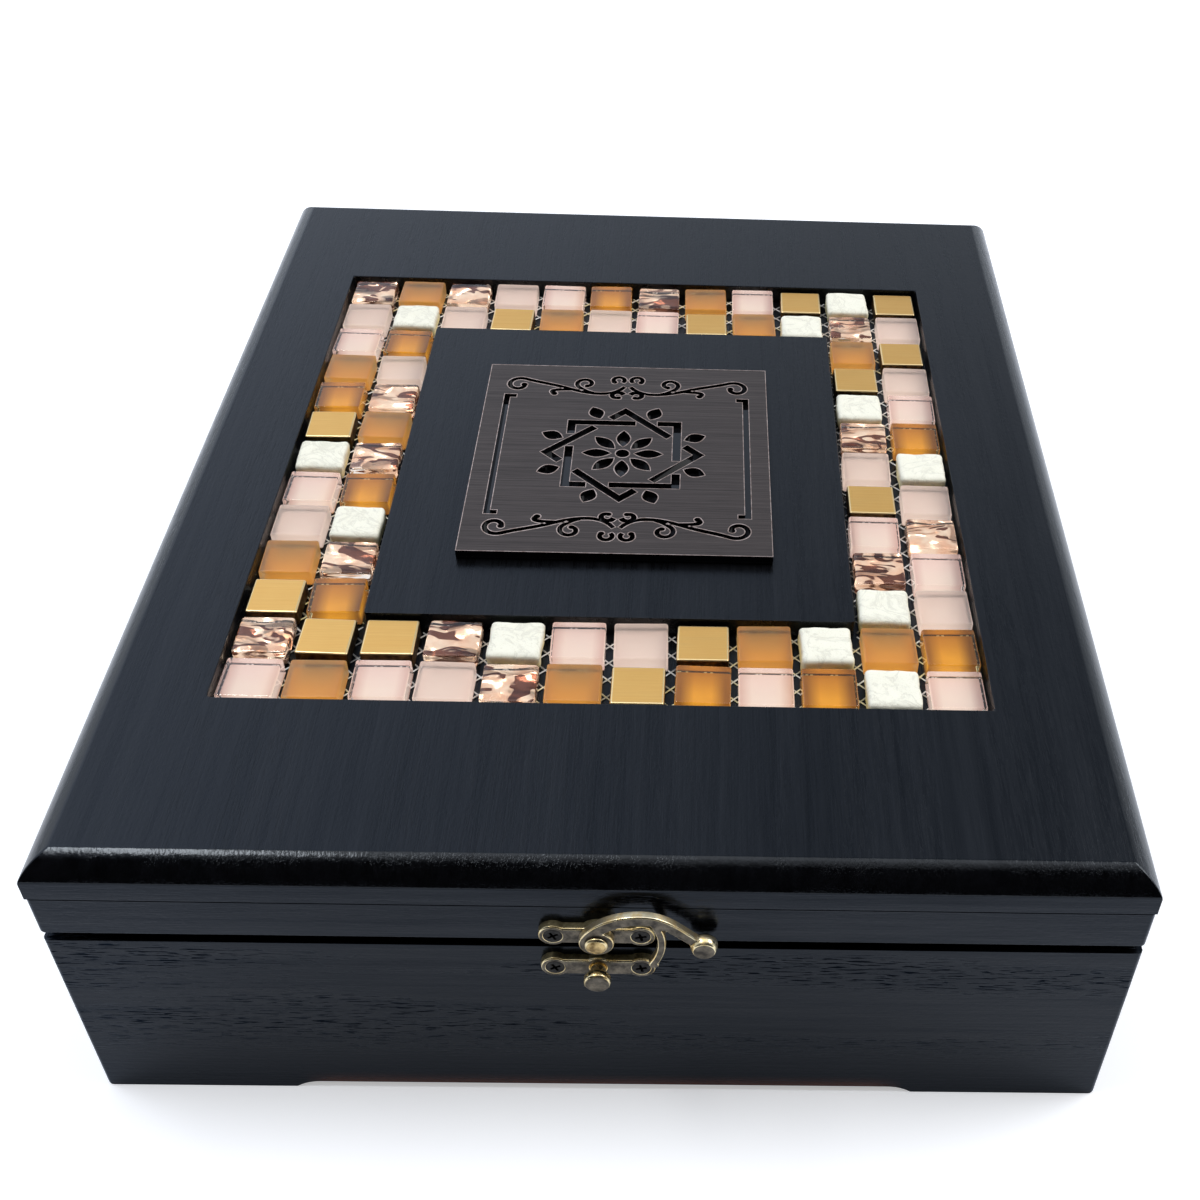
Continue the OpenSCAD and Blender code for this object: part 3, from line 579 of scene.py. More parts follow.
grainX, grainY = 0.0, math.pi / 2
finishes = {
    "wallX": stainedWood("stainedWallX", "wall", grainX, cutHalf=0.0755),
    "wallY": stainedWood("stainedWallY", "wall", grainY, cutHalf=0.11),
    "railX": stainedWood("stainedRailX", "rail", grainX),
    "railY": stainedWood("stainedRailY", "rail", grainY),
    "panel": stainedWood("stainedPanel", "panel", grainY),
    "bevel": stainedWood("stainedBevel", "bevel", grainY),
    "rawEdge": bareWood("rawEdge", grainX, dark=(0.02, 0.009, 0.005), light=(0.055, 0.02, 0.01),
                        pore=None, bump=0.4, depth=0.0005, roughness=0.7),
    "bottom": bareWood("bottomBoard", grainY, dark=(0.035, 0.019, 0.011), light=(0.095, 0.055, 0.03),
                       pore=(0.012, 0.006, 0.004), bump=0.3, depth=0.0004, roughness=0.62),
    "lining": felt("wineFelt", dark=(0.06, 0.004, 0.008), light=(0.21, 0.014, 0.024)),
    "bumper": felt("blackFelt", dark=(0.006, 0.006, 0.006), light=(0.03, 0.03, 0.03)),
    "net": netFibre("netFibre", dark=(0.5, 0.49, 0.46), light=(0.92, 0.91, 0.88)),
    "clearPink": chipGlass("clearPinkGlass", tint=(0.99, 0.94, 0.91), roughness=0.03),
    "frostedPink": chipGlass("frostedPinkGlass", tint=(0.98, 0.93, 0.88), roughness=0.45),
    "clearAmber": chipGlass("clearAmberGlass", tint=(0.98, 0.87, 0.5), roughness=0.03),
    "frostedAmber": chipGlass("frostedAmberGlass", tint=(0.98, 0.86, 0.55), roughness=0.42),
    "clearRose": chipGlass("clearRoseGlass", tint=(0.99, 0.91, 0.85), roughness=0.02),
    # shadedBorder and far are painted shade at each chip's sides and back edge
    "pinkPaint": chipPaint("pinkPaint", middle=(0.88, 0.72, 0.59), shadedBorder=(0.67, 0.43, 0.36),
                           far=(0.86, 0.64, 0.55)),
    "frostPinkPaint": chipPaint("frostPinkPaint", middle=(0.82, 0.65, 0.55), shadedBorder=(0.79, 0.6, 0.51),
                                far=(0.7, 0.54, 0.46)),
    "amberPaint": chipPaint("amberPaint", middle=(0.82, 0.38, 0.04), shadedBorder=(0.25, 0.088, 0.01),
                            far=(0.48, 0.18, 0.02), rim=(0.32, 0.8)),
    "frostAmberPaint": chipPaint("frostAmberPaint", middle=(0.69, 0.3, 0.04), shadedBorder=(0.55, 0.22, 0.03),
                                 far=(0.34, 0.18, 0.06)),
    "foil": chipFoil("roseFoil", dark=(0.84, 0.53, 0.36), light=(1.0, 0.86, 0.69), darkReflection=(0.15, 0.05, 0.024)),
    "chipBrass": satinBrass("chipBrass", dark=(0.82, 0.47, 0.135), light=(0.91, 0.56, 0.18),
                            roughness=0.42, bump=0.03),
    # brassRim is a paler brass on the chips' bevels, a painted highlight; brassSide a near-black brass on
    # their sides, dark patina and painted shade between the chips
    "brassRim": satinBrass("brassRim", dark=(0.93, 0.66, 0.3), light=(1.0, 0.8, 0.44),
                           roughness=0.32, bump=0.05),
    "brassSide": agedBrass("brassSide", dark=(0.02, 0.01, 0.004), light=(0.12, 0.07, 0.025),
                           roughness=0.45, metallic=0.9),
    "marble": tumbledMarble("tumbledMarble"),
    "backing": glossBacking("glossBacking", dark=(0.003, 0.003, 0.0035), light=(0.007, 0.007, 0.008)),
    "bronze": brushedBronze("brushedBronze", dark=(0.026, 0.02, 0.018), light=(0.094, 0.074, 0.066),
                            worn=(0.034, 0.027, 0.024)),
    "cutRim": cutRim("cutRim", dark=(0.4, 0.28, 0.22), light=(0.85, 0.66, 0.56)),
    "patinaBrass": agedBrass("patinaBrass", dark=(0.05, 0.043, 0.034), light=(0.2, 0.17, 0.125),
                             roughness=0.38, metallic=0.75),
    "rubbedBrass": agedBrass("rubbedBrass", dark=(0.84, 0.62, 0.28), light=(1.0, 0.88, 0.56),
                             roughness=0.2, metallic=1.0, pitting=0.2, bump=0.08),
    "sideBrass": agedBrass("sideBrass", dark=(0.13, 0.105, 0.055), light=(0.46, 0.39, 0.21),
                           roughness=0.4, metallic=0.75),
    "archBrass": agedBrass("archBrass", dark=(0.68, 0.5, 0.24), light=(1.0, 0.93, 0.7),
                           roughness=0.3, metallic=0.95, pitting=0.3, bump=0.12),
    "rivetBrass": agedBrass("rivetBrass", dark=(0.2, 0.13, 0.05), light=(0.85, 0.62, 0.28),
                            roughness=0.26, metallic=0.95),
    "screw": blackenedSteel("blackenedSteel", dark=(0.008, 0.007, 0.007), light=(0.035, 0.033, 0.03)),
    "hinge": satinBrass("hingeBrass", dark=(0.36, 0.25, 0.1), light=(0.62, 0.46, 0.2),
                        roughness=0.36, bump=0.12),
    "floor": paperFloor("paperFloor"),
}
print("finishes made:", len(finishes))


# Mesh helpers

flatNormals = {"angle": 35.0, "weight": 100}
solidCopy = {"weld": 2e-6, "flatAngle": 0.5}
samePlace = 1e-6
sameLevel = 1e-7


def vertsIn(geom):
    return [item for item in geom if isinstance(item, bmesh.types.BMVert)]


def edgesIn(geom):
    return [item for item in geom if isinstance(item, bmesh.types.BMEdge)]


def facesIn(geom):
    return [item for item in geom if isinstance(item, bmesh.types.BMFace)]


def keptMesh(bm, name):
    data = bpy.data.meshes.new(name)
    bm.to_mesh(data)
    bm.free()
    return data


def newPiece(name, bm, materials, body, replaced, smoothAngle=flatNormals["angle"]):
    data = keptMesh(bm, name)
    for material in materials:
        data.materials.append(finishes[material])
    data.shade_smooth()
    data.set_sharp_from_angle(angle=math.radians(smoothAngle))
    piece = bpy.data.objects.new(name, data)
    bpy.context.scene.collection.objects.link(piece)
    flatness = piece.modifiers.new("flatFaces", "WEIGHTED_NORMAL")
    flatness.keep_sharp = True
    flatness.weight = flatNormals["weight"]
    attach(piece, body)
    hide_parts(*replaced)
    return piece


def roundEdges(bm, edges, width, segments, clamp=True):
    bmesh.ops.bevel(bm, geom=edges, offset=width * mm, offset_type="OFFSET", segments=segments,
                    profile=0.5, affect="EDGES", material=-1, clamp_overlap=clamp)


def sharpEdges(bm, degrees):
    limit = math.radians(degrees)
    return [edge for edge in bm.edges
            if len(edge.link_faces) == 2 and edge.calc_face_angle(0.0) > limit]


def atHeight(edge, height, gap=samePlace):
    return all(abs(vert.co.z - height) < gap for vert in edge.verts)


def cutAway(bm, point, normal):
    everything = bm.verts[:] + bm.edges[:] + bm.faces[:]
    bmesh.ops.bisect_plane(bm, geom=everything, dist=sameLevel, plane_co=point, plane_no=normal,
                           clear_outer=True)
    bmesh.ops.holes_fill(bm, edges=[edge for edge in bm.edges if edge.is_boundary])


def copyOfNode(node):
    bm = bmesh.new()
    bm.from_mesh(nodes[node].data)
    bmesh.ops.remove_doubles(bm, verts=bm.verts, dist=solidCopy["weld"])
    bmesh.ops.dissolve_limit(bm, angle_limit=math.radians(solidCopy["flatAngle"]), verts=bm.verts,
                             edges=bm.edges)
    for face in bm.faces:
        face.material_index = 0
    return bm


def lathe(profile, steps):
    bm = bmesh.new()
    points = [bm.verts.new((radius * mm, 0, height * mm)) for radius, height in profile]
    line = [bm.edges.new(pair) for pair in zip(points, points[1:])]
    bmesh.ops.spin(bm, geom=points + line, cent=(0, 0, 0), axis=(0, 0, 1), dvec=(0, 0, 0),
                   angle=2 * math.pi, steps=steps, use_merge=True, use_duplicate=False)
    bmesh.ops.remove_doubles(bm, verts=bm.verts, dist=samePlace)
    bmesh.ops.recalc_face_normals(bm, faces=bm.faces)
    return bm


def placed(bm, matrix):
    bmesh.ops.transform(bm, matrix=matrix, verts=bm.verts)
    return bm


def scattered(bm, template, places):
    groups = []
    for place in places:
        start = len(bm.verts)
        bm.from_mesh(template)
        bm.verts.ensure_lookup_table()
        fresh = bm.verts[start:]
        bmesh.ops.transform(bm, matrix=place, verts=fresh)
        groups.append(fresh)
    return groups


def boxInMm(node):
    low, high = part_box(node)
    return low / mm, high / mm


# Outward from the front face, with the drawing's X to the right and its Y up
facingFront = Matrix.Rotation(math.pi / 2, 4, "X")


# Boards of the box and the lid

boards = {
    "thickness": 10.0,
    "cornerRadius": 1.4,
    "cornerCuts": 3,
    "arris": 0.6,
    "seamArris": 0.14,  # where a rail is glued under the panel
    "footCorner": 1.8,
    "footCornerSteps": 4,
    "footCut": 2.4,
    "footLength": 50.0,
    "footEnd": 10.0,
    "footSteps": 6,
    "rawHeight": (0.5, 5.0),  # the cut-out's raw underside lies between these
    "rawFacing": -0.6,
}

sides = ("front", "right", "back", "left")


def wallOutline(length, height, feet):
    outline = [(-length / 2, 0)]
    corner = [(length / 2, 0)]
    if feet:
        bend, steps = boards["footCorner"], boards["footCornerSteps"]
        turns = [math.pi / 2 * i / steps for i in range(steps + 1)]
        corner = [(length / 2 - bend + bend * math.sin(a), bend - bend * math.cos(a)) for a in turns]
        outline = [(-x, z) for x, z in reversed(corner)]
        cut, radius, steps = boards["footCut"], boards["footEnd"], boards["footSteps"]
        run = math.sqrt(2 * radius * cut - cut * cut)
        flat = length / 2 - boards["footLength"] - run
        sweep = math.asin(run / radius)
        turns = [sweep * i / steps for i in range(steps + 1)]
        arc = [(flat + radius * math.sin(a), cut - radius + radius * math.cos(a)) for a in turns]
        outline += [(-x, z) for x, z in reversed(arc)] + arc
    outline += corner + [(length / 2, height), (-length / 2, height)]
    return outline


def mitredBoard(side, length, outward, low, height, feet):
    thick, radius, cuts = boards["thickness"], boards["cornerRadius"], boards["cornerCuts"]
    bm = bmesh.new()
    outline = wallOutline(length, height, feet)
    face = bm.faces.new([bm.verts.new((x * mm, 0, z * mm)) for x, z in outline])
    grown = bmesh.ops.extrude_face_region(bm, geom=[face])["geom"]
    bmesh.ops.translate(bm, vec=(0, thick * mm, 0), verts=vertsIn(grown))
    bmesh.ops.recalc_face_normals(bm, faces=bm.faces)
    for end in (-1, 1):
        cutAway(bm, (end * length / 2 * mm, 0, 0), (end, 1, 0))
        centre = Vector((end * (length / 2 - radius), radius, 0))
        for i in range(1, cuts + 1):
            angle = math.radians(45) * i / cuts
            away = Vector((end * math.sin(angle), -math.cos(angle), 0))
            cutAway(bm, (centre + away * radius) * mm, away)
    mitre = [face for face in bm.faces if face.normal.y > 0.5 and abs(face.normal.x) > 0.5]
    hidden = {edge for face in mitre for edge in face.edges}
    arrises = [edge for edge in sharpEdges(bm, 40) if edge not in hidden]
    seamHeight = (height - 0.01) * mm
    seam = [] if feet else [e for e in arrises if all(vert.co.z > seamHeight for vert in e.verts)]
    bare = [edge for edge in arrises if edge not in set(seam)]
    roundEdges(bm, bare, boards["arris"], 2)
    roundEdges(bm, [edge for edge in seam if edge.is_valid], boards["seamArris"], 1)
    rawLow, rawHigh = boards["rawHeight"]
    for face in bm.faces:
        middle = face.calc_center_median().z / mm
        raw = feet and face.normal.z < boards["rawFacing"] and rawLow < middle < rawHigh
        face.material_index = 1 if raw else 0
    turn = Matrix.Rotation(math.pi / 2 * sides.index(side), 4, "Z")
    return placed(bm, turn @ Matrix.Translation((0, -outward * mm, low * mm)))


def makeBoards():
    for kind, pattern, body in (("wall", "{}_wall", "box"), ("rail", "lid_{}_rail", "lid")):
        feet = kind == "wall"
        for side in sides:
            node = pattern.format(side)
            low, high = boxInMm(node)
            alongX = side in ("front", "back")
            length = (high - low).x if alongX else (high - low).y
            outward = max(abs(low.y), abs(high.y)) if alongX else max(abs(low.x), abs(high.x))
            bm = mitredBoard(side, length, outward, low.z, high.z - low.z, feet)
            grain = kind + ("X" if alongX else "Y")
            materials = [grain, "rawEdge"] if feet else [grain]
            newPiece(side + kind.capitalize(), bm, materials, body, [node])
    print("boards made")


lid = {
    "bevelWidth": 6.4,
    "bevelHeight": 5.4,
    "bulge": 0.8,
    "bevelSteps": 9,
    "lowerArris": 0.16,
    "hip": 0.35,
    "shoulder": 0.6,  # rounding where the bevel meets the top
    "channelDepth": 6.2,
    "channelCorner": 1.0,
    "channelArris": 0.35,
    "channelClear": 0.4,  # the net's distance from the channel's walls
}


def ringInset():
    low, high = boxInMm("mosaic_net")
    clear = lid["channelClear"]
    return (low + high) / 2, high.x - low.x + 2 * clear, high.y - low.y + 2 * clear


def bevelProfile():
    run, drop, bulge, steps = lid["bevelWidth"], lid["bevelHeight"], lid["bulge"], lid["bevelSteps"]
    chord = math.hypot(run, drop)
    radius = (chord * chord / 4 + bulge * bulge) / (2 * bulge)
    centre = Vector((run, -drop)) / 2 + Vector((drop, -run)) / chord * (radius - bulge)
    first = math.atan2(-drop - centre.y, -centre.x)
    last = math.atan2(-centre.y, run - centre.x)
    angles = [first + (last - first) * i / steps for i in range(steps + 1)]
    return [(centre.x + radius * math.cos(a), centre.y + radius * math.sin(a)) for a in angles]


def raiseTop(bm, face, place, keep=False):
    grown = bmesh.ops.extrude_face_region(bm, geom=[face])["geom"]
    if not keep:
        bmesh.ops.delete(bm, geom=[face], context="FACES_ONLY")
    for vert in vertsIn(grown):
        vert.co = place(vert.co)
    return facesIn(grown)[0]


def bevelledSlab(bm, low, high):
    half = (high - low) / 2
    corners = [(low.x, low.y), (high.x, low.y), (high.x, high.y), (low.x, high.y)]
    under = bm.faces.new([bm.verts.new((x, y, low.z)) for x, y in corners])
    top = under
    for inset, drop in bevelProfile():
        across, along = half.x - inset * mm, half.y - inset * mm
        height = high.z + drop * mm
        top = raiseTop(bm, top, lambda point: Vector((
            math.copysign(across, point.x), math.copysign(along, point.y), height)), keep=top is under)
    return top


def sinkChannel(bm, top):
    centre, width, length = ringInset()
    both = 2 * ringWidth()
    for across, along in ((width, length), (width - both, length - both)):
        bmesh.ops.inset_region(bm, faces=[top], thickness=1 * mm)
        for vert in top.verts:
            vert.co.x = centre.x * mm + math.copysign(across / 2 * mm, vert.co.x)
            vert.co.y = centre.y * mm + math.copysign(along / 2 * mm, vert.co.y)
    ring = [face for edge in top.edges for face in edge.link_faces if face != top]
    sunk = bmesh.ops.extrude_face_region(bm, geom=ring)["geom"]
    bmesh.ops.delete(bm, geom=ring, context="FACES_ONLY")
    bmesh.ops.translate(bm, vec=(0, 0, -lid["channelDepth"] * mm), verts=vertsIn(sunk))
    bmesh.ops.recalc_face_normals(bm, faces=bm.faces)


def roundLid(bm, low, high):
    half = (high - low) / 2

    def inward(vert):
        return half.x - abs(vert.co.x), half.y - abs(vert.co.y)

    def onOutline(edge):
        return all(min(abs(gap) for gap in inward(vert)) < 0.1 * mm for vert in edge.verts)

    def onHip(edge):
        return all(abs(inward(vert)[0] - inward(vert)[1]) < 0.02 * mm and vert.co.z > low.z + 1.5 * mm
                   for vert in edge.verts)

    def onShoulder(edge):
        return edge.calc_length() > 50 * mm and atHeight(edge, high.z) and all(
            min(inward(vert)) < 8 * mm for vert in edge.verts)

    floor = high.z - lid["channelDepth"] * mm
    ends = {0.0, round(high.z - floor, 6)}
    upright = [edge for edge in bm.edges if {round(vert.co.z - floor, 6) for vert in edge.verts} == ends]
    roundEdges(bm, upright, lid["channelCorner"], 4)
    mouth = [edge for edge in sharpEdges(bm, 60) if atHeight(edge, high.z)]
    roundEdges(bm, mouth, lid["channelArris"], 2)
    lower = [edge for edge in sharpEdges(bm, 30) if onOutline(edge) and atHeight(edge, low.z)]
    roundEdges(bm, lower, lid["lowerArris"], 1)
    roundEdges(bm, [edge for edge in sharpEdges(bm, 15) if onHip(edge)], lid["hip"], 2)
    roundEdges(bm, [edge for edge in sharpEdges(bm, 8) if onShoulder(edge)], lid["shoulder"], 4)


def makeLidPanel():
    low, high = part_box("lid_panel")
    half = (high - low) / 2
    bm = bmesh.new()
    sinkChannel(bm, bevelledSlab(bm, low, high))
    roundLid(bm, low, high)
    bm.normal_update()
    bevelEnd = (lid["bevelWidth"] + lid["shoulder"]) * mm
    for face in bm.faces:
        middle = face.calc_center_median()
        inward = min(half.x - abs(middle.x), half.y - abs(middle.y))
        if inward > bevelEnd or face.normal.z < -0.5 or face.normal.z > 0.998:
            continue
        upright = 1 if abs(face.normal.y) > abs(face.normal.x) else 2
        face.material_index = upright if face.normal.z < 0.2 else 3
    newPiece("lidPanel", bm, ["panel", "railX", "railY", "bevel"], "lid",
             ["lid_panel"], 40.0)
    print("lid panel made")


# Mosaic

mosaic = {
    "layout": ("RARPpaRApBMB", "PMPBAPpBAMRP", "pa........AB", "AP........BP", "aR........Mp",
               "BA........Ra", "MR........PM", "pa........BP", "PM........pR", "AR........Rp",
               "Ba........MP", "RBBRMpPBAMAa", "pApPRABapaMp"),
    "pitch": 16.7,
    "jointWidth": 2.2,
    "channelClear": 1.3,
    "ringChips": 2,
    "seed": 11,
    "shift": 0.22,  # mm that a chip lies off its place
    "twist": 1.4,  # degrees that it lies askew
    "tilt": 0.5,
}


def ringWidth():
    return mosaic["ringChips"] * mosaic["pitch"] - mosaic["jointWidth"] + 2 * mosaic["channelClear"]


def chipPlaces(kind):
    centre, _, _ = ringInset()
    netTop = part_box("mosaic_net")[1].z
    pitch, shift = mosaic["pitch"], mosaic["shift"]
    rows, columns = len(mosaic["layout"]), len(mosaic["layout"][0])
    draw = random.Random(mosaic["seed"] + ord(kind))
    places = []
    for row, letters in enumerate(mosaic["layout"]):
        for column, letter in enumerate(letters):
            if letter != kind:
                continue
            right, back, twist, lean, sway = [draw.uniform(-1, 1) for _ in range(5)]
            x = centre.x + (column - (columns - 1) / 2) * pitch + right * shift
            y = centre.y + ((rows - 1) / 2 - row) * pitch + back * shift
            place = Matrix.Translation((x * mm, y * mm, netTop)) @ rotation(twist * mosaic["twist"], "Z")
            tilt = mosaic["tilt"]
            places.append(place @ rotation(lean * tilt, "X") @ rotation(sway * tilt, "Y"))
    return places


def mapPlaces(bm, side):
    places = bm.loops.layers.uv.new("chipPlace")
    for face in bm.faces:
        for loop in face.loops:
            loop[places].uv = (2 * loop.vert.co.x / (side * mm), 2 * loop.vert.co.y / (side * mm))


def chipBlank(bm, side, low, high, corner, rim, foot):
    made = bmesh.ops.create_cube(bm, size=1.0)["verts"]
    bmesh.ops.scale(bm, vec=(side * mm, side * mm, (high - low) * mm), verts=made)
    bmesh.ops.translate(bm, vec=(0, 0, (high + low) / 2 * mm), verts=made)
    edges = {edge for vert in made for edge in vert.link_edges}
    upright = [edge for edge in edges if abs(edge.verts[0].co.z - edge.verts[1].co.z) > samePlace]
    roundEdges(bm, upright, corner, 3)
    roundEdges(bm, [edge for edge in bm.edges if atHeight(edge, high * mm, sameLevel)], rim, 4)
    if foot:
        roundEdges(bm, [edge for edge in bm.edges if atHeight(edge, low * mm, sameLevel)], foot, 2)


glassChips = {
    "side": 14.5,
    "height": 5.0,
    "corner": 0.7,
    "foot": 0.25,
    "lift": 0.15,  # glass bottom above the paint's underside
    "paint": {"thickness": 0.4, "margin": 0.35, "corner": 0.5, "rim": 0.1},
    "kinds": {
        "p": {"name": "clearPinkChips", "node": "chips_clear_pink", "slot": "clear_pink_glass",
              "finishes": ["clearPink", "pinkPaint"], "rim": 0.55},
        "P": {"name": "frostedPinkChips", "node": "chips_frosted_pink", "slot": "frosted_pink_glass",
              "finishes": ["frostedPink", "frostPinkPaint"], "rim": 0.8},
        "a": {"name": "clearAmberChips", "node": "chips_clear_amber", "slot": "clear_amber_glass",
              "finishes": ["clearAmber", "amberPaint"], "rim": 0.55},
        "A": {"name": "frostedAmberChips", "node": "chips_frosted_amber", "slot": "frosted_amber_glass",
              "finishes": ["frostedAmber", "frostAmberPaint"], "rim": 0.8},
    },
}


def glassTemplate(rim):
    values, paint = glassChips, glassChips["paint"]
    bm = bmesh.new()
    paintSide = values["side"] - 2 * paint["margin"]
    chipBlank(bm, paintSide, 0.0, paint["thickness"], paint["corner"], paint["rim"], foot=0.0)
    for face in bm.faces:
        face.material_index = 1
    body = bmesh.new()
    chipBlank(body, values["side"], values["lift"], values["height"], values["corner"], rim, values["foot"])
    bm.from_mesh(keptMesh(body, "glassBody"))
    mapPlaces(bm, values["side"])
    return keptMesh(bm, "glassTemplate")


def makeGlassChips():
    for letter, kind in glassChips["kinds"].items():
        bm = bmesh.new()
        scattered(bm, glassTemplate(kind["rim"]), chipPlaces(letter))
        newPiece(kind["name"], bm, kind["finishes"], "lid", [kind["node"]], 50.0)
    print("glass chips made")


foilChips = {
    "side": 14.3,
    "height": 5.0,
    "lift": 0.3,
    "radius": 0.9,
    "cuts": 15,
    "ripple": 0.22,  # mm on the top face
    "rippleDrop": 0.5,
    "rippleDepth": 1.6,
    "rippleLength": 5.2,
    "foilLevel": 1.3,
    "foilMargin": 0.4,
    "foilRipple": 2.3,
    "foilLength": (11.0, 6.0),  # mm across and front to back
    "foilSlice": 0.7,
    "fineShare": 0.14,
    "fineScale": 2.1,
    "foilCells": 20,
}


def roundedLump(name, values, low):
    side, high, radius = values["side"], values["height"], values["radius"]
    bm = bmesh.new()
    bmesh.ops.create_cube(bm, size=1.0)
    bmesh.ops.subdivide_edges(bm, edges=bm.edges, cuts=values["cuts"], use_grid_fill=True)
    half = Vector((side / 2, side / 2, (high - low) / 2))
    core = half - Vector((radius, radius, radius))
    for vert in bm.verts:
        point = Vector((vert.co.x * side, vert.co.y * side, vert.co.z * (high - low)))
        inner = Vector([max(-limit, min(limit, x)) for x, limit in zip(point, core)])
        away = point - inner
        vert.co = (inner + away.normalized() * radius if away.length > samePlace else point) * mm
    bmesh.ops.translate(bm, vec=(0, 0, (high + low) / 2 * mm), verts=bm.verts)
    return keptMesh(bm, name)


def foilSheet(values):
    sheet = bmesh.new()
    size = values["side"] / 2 - values["foilMargin"]
    cells = values["foilCells"]
    bmesh.ops.create_grid(sheet, x_segments=cells, y_segments=cells, size=size * mm)
    grown = bmesh.ops.extrude_face_region(sheet, geom=sheet.faces[:])["geom"]
    bmesh.ops.translate(sheet, vec=(0, 0, values["foilLevel"] * mm), verts=vertsIn(grown))
    bmesh.ops.recalc_face_normals(sheet, faces=sheet.faces)
    for face in sheet.faces:
        face.material_index = 1
    return keptMesh(sheet, "foilSheet")


def makeFoilChips():
    values = foilChips
    glass = roundedLump("foilGlass", values, values["lift"])
    foil = foilSheet(values)
    places = chipPlaces("R")
    bm = bmesh.new()
    for group in scattered(bm, glass, places):
        top = max(vert.co.z for vert in group)
        for vert in group:
            share = max(0.0, 1 - (top - vert.co.z) / (values["rippleDepth"] * mm))
            wave = noise.noise(vert.co / (values["rippleLength"] * mm))
            vert.co.z += (wave - values["rippleDrop"]) * values["ripple"] * mm * share
    across, along = values["foilLength"]
    for group in scattered(bm, foil, places):
        level = min(vert.co.z for vert in group) + 0.5 * values["foilLevel"] * mm
        for vert in group:
            if vert.co.z > level:
                spot = Vector((vert.co.x / across, vert.co.y / along, values["foilSlice"])) / mm
                wave = noise.noise(spot) + values["fineShare"] * noise.noise(spot * values["fineScale"])
                vert.co.z += wave * values["foilRipple"] * mm
    newPiece("roseFoilChips", bm, ["clearRose", "foil"], "lid",
             ["chips_rose_foil"], 60.0)
    print("foil chips made")


stoneChips = {
    "side": 14.5,
    "height": 5.35,
    "radius": 1.4,
    "cuts": 15,
    "wander": 0.38,
    "wanderLength": 5.0,
    "chipping": 0.12,
    "chippingLength": 1.3,
    "shrink": 0.15,
}


def makeMarbleChips():
    values = stoneChips
    bm = bmesh.new()
    for group in scattered(bm, roundedLump("stoneLump", values, low=0.0), chipPlaces("M")):
        bottom = min(vert.co.z for vert in group)
        middle = sum((vert.co for vert in group), Vector()) / len(group)
        for vert in group:
            away = (vert.co - middle).normalized()
            wave = noise.noise(vert.co / (values["wanderLength"] * mm)) * values["wander"]
            wave += noise.noise(vert.co / (values["chippingLength"] * mm)) * values["chipping"]
            vert.co += away * (wave - values["shrink"]) * mm
            vert.co.z = max(vert.co.z, bottom)
    newPiece("marbleChips", bm, ["marble"], "lid", ["chips_marble"], 60.0)
    print("marble chips made")


brassChips = {"side": 14.0, "height": 4.6, "corner": 0.6, "rim": 0.75, "foot": 0.15,
              "sideBelow": 0.45, "topAbove": 0.99}


def makeBrassChips():
    values = brassChips
    blank = bmesh.new()
    chipBlank(blank, values["side"], 0.0, values["height"], values["corner"], values["rim"], values["foot"])
    # top, bevel and sides by facing: the paler bevel is a painted highlight, the near-black sides dark patina
    # and painted shade
    for face in blank.faces:
        level = face.normal.z
        face.material_index = 2 if level < values["sideBelow"] else 1 if level < values["topAbove"] else 0
    bm = bmesh.new()
    scattered(bm, keptMesh(blank, "brassBlank"), chipPlaces("B"))
    newPiece("brassChips", bm, ["chipBrass", "brassRim", "brassSide"], "lid",
             ["chips_brass"], 50.0)
    print("brass chips made")


net = {
    "diagonal": 6.68,  # mm between strands, along the front
    "radius": 0.24,
    "sides": 4,
    "weave": 0.05,
    "outerMargin": 0.5,
    "innerMargin": 1.0,
    "shortest": 1.0,
}


def insideSpan(start, along, low, high):
    first, last = -math.inf, math.inf
    for place, step, lowEnd, highEnd in zip(start, along, low, high):
        near, far = sorted(((lowEnd - place) / step, (highEnd - place) / step))
        first, last = max(first, near), min(last, far)
    return (first, last) if last > first else None


def strandSpans(start, along, outer, inner):
    whole = insideSpan(start, along, *outer)
    hole = insideSpan(start, along, *inner)
    if whole is None:
        return []
    spans = [whole] if hole is None else [(whole[0], hole[0]), (hole[1], whole[1])]
    return [span for span in spans if span[1] - span[0] >= net["shortest"]]


def makeNet():
    centre, width, length = ringInset()
    low, high = boxInMm("mosaic_net")
    middle = Vector((centre.x, centre.y))
    evenly = Vector((1, 1))
    size = Vector((high.x - low.x, high.y - low.y)) / 2 - evenly * net["outerMargin"]
    hole = Vector((width, length)) / 2 - evenly * (ringWidth() - net["innerMargin"])
    outer = (middle - size, middle + size)
    inner = (middle - hole, middle + hole)
    count = int((size.x + size.y) / net["diagonal"]) + 1
    radius = net["radius"] * mm
    bm = bmesh.new()
    for lean in (-1, 1):
        along = Vector((1, lean)).normalized()
        turn = along.to_3d().to_track_quat("Z", "Y").to_matrix().to_4x4()
        level = (low.z + high.z) / 2 + lean * net["weave"]
        for i in range(-count, count + 1):
            start = middle + Vector((i * net["diagonal"], 0))
            for first, last in strandSpans(start, along, outer, inner):
                point = start + along * (first + last) / 2
                place = Matrix.Translation((point.x * mm, point.y * mm, level * mm))
                bmesh.ops.create_cone(bm, cap_ends=True, segments=net["sides"], radius1=radius,
                                      radius2=radius, depth=(last - first) * mm, matrix=place @ turn)
    newPiece("mosaicNet", bm, ["net"], "lid", ["mosaic_net"], 80.0)
    print("net made")


# Plaque

plaque = {
    "kerf": 0.2,  # mm that the tool's path widens a cut to each side
    "rim": 0.3,  # bare metal along each cut and edge, lighter than the bronze, and also a painted highlight where the edge catches light
    "rimLift": 0.012,
    "outlineBand": 0.5,  # the outer edge itself isn't widened
    "wallFacing": 0.3,
    "backingArris": 0.2,
}


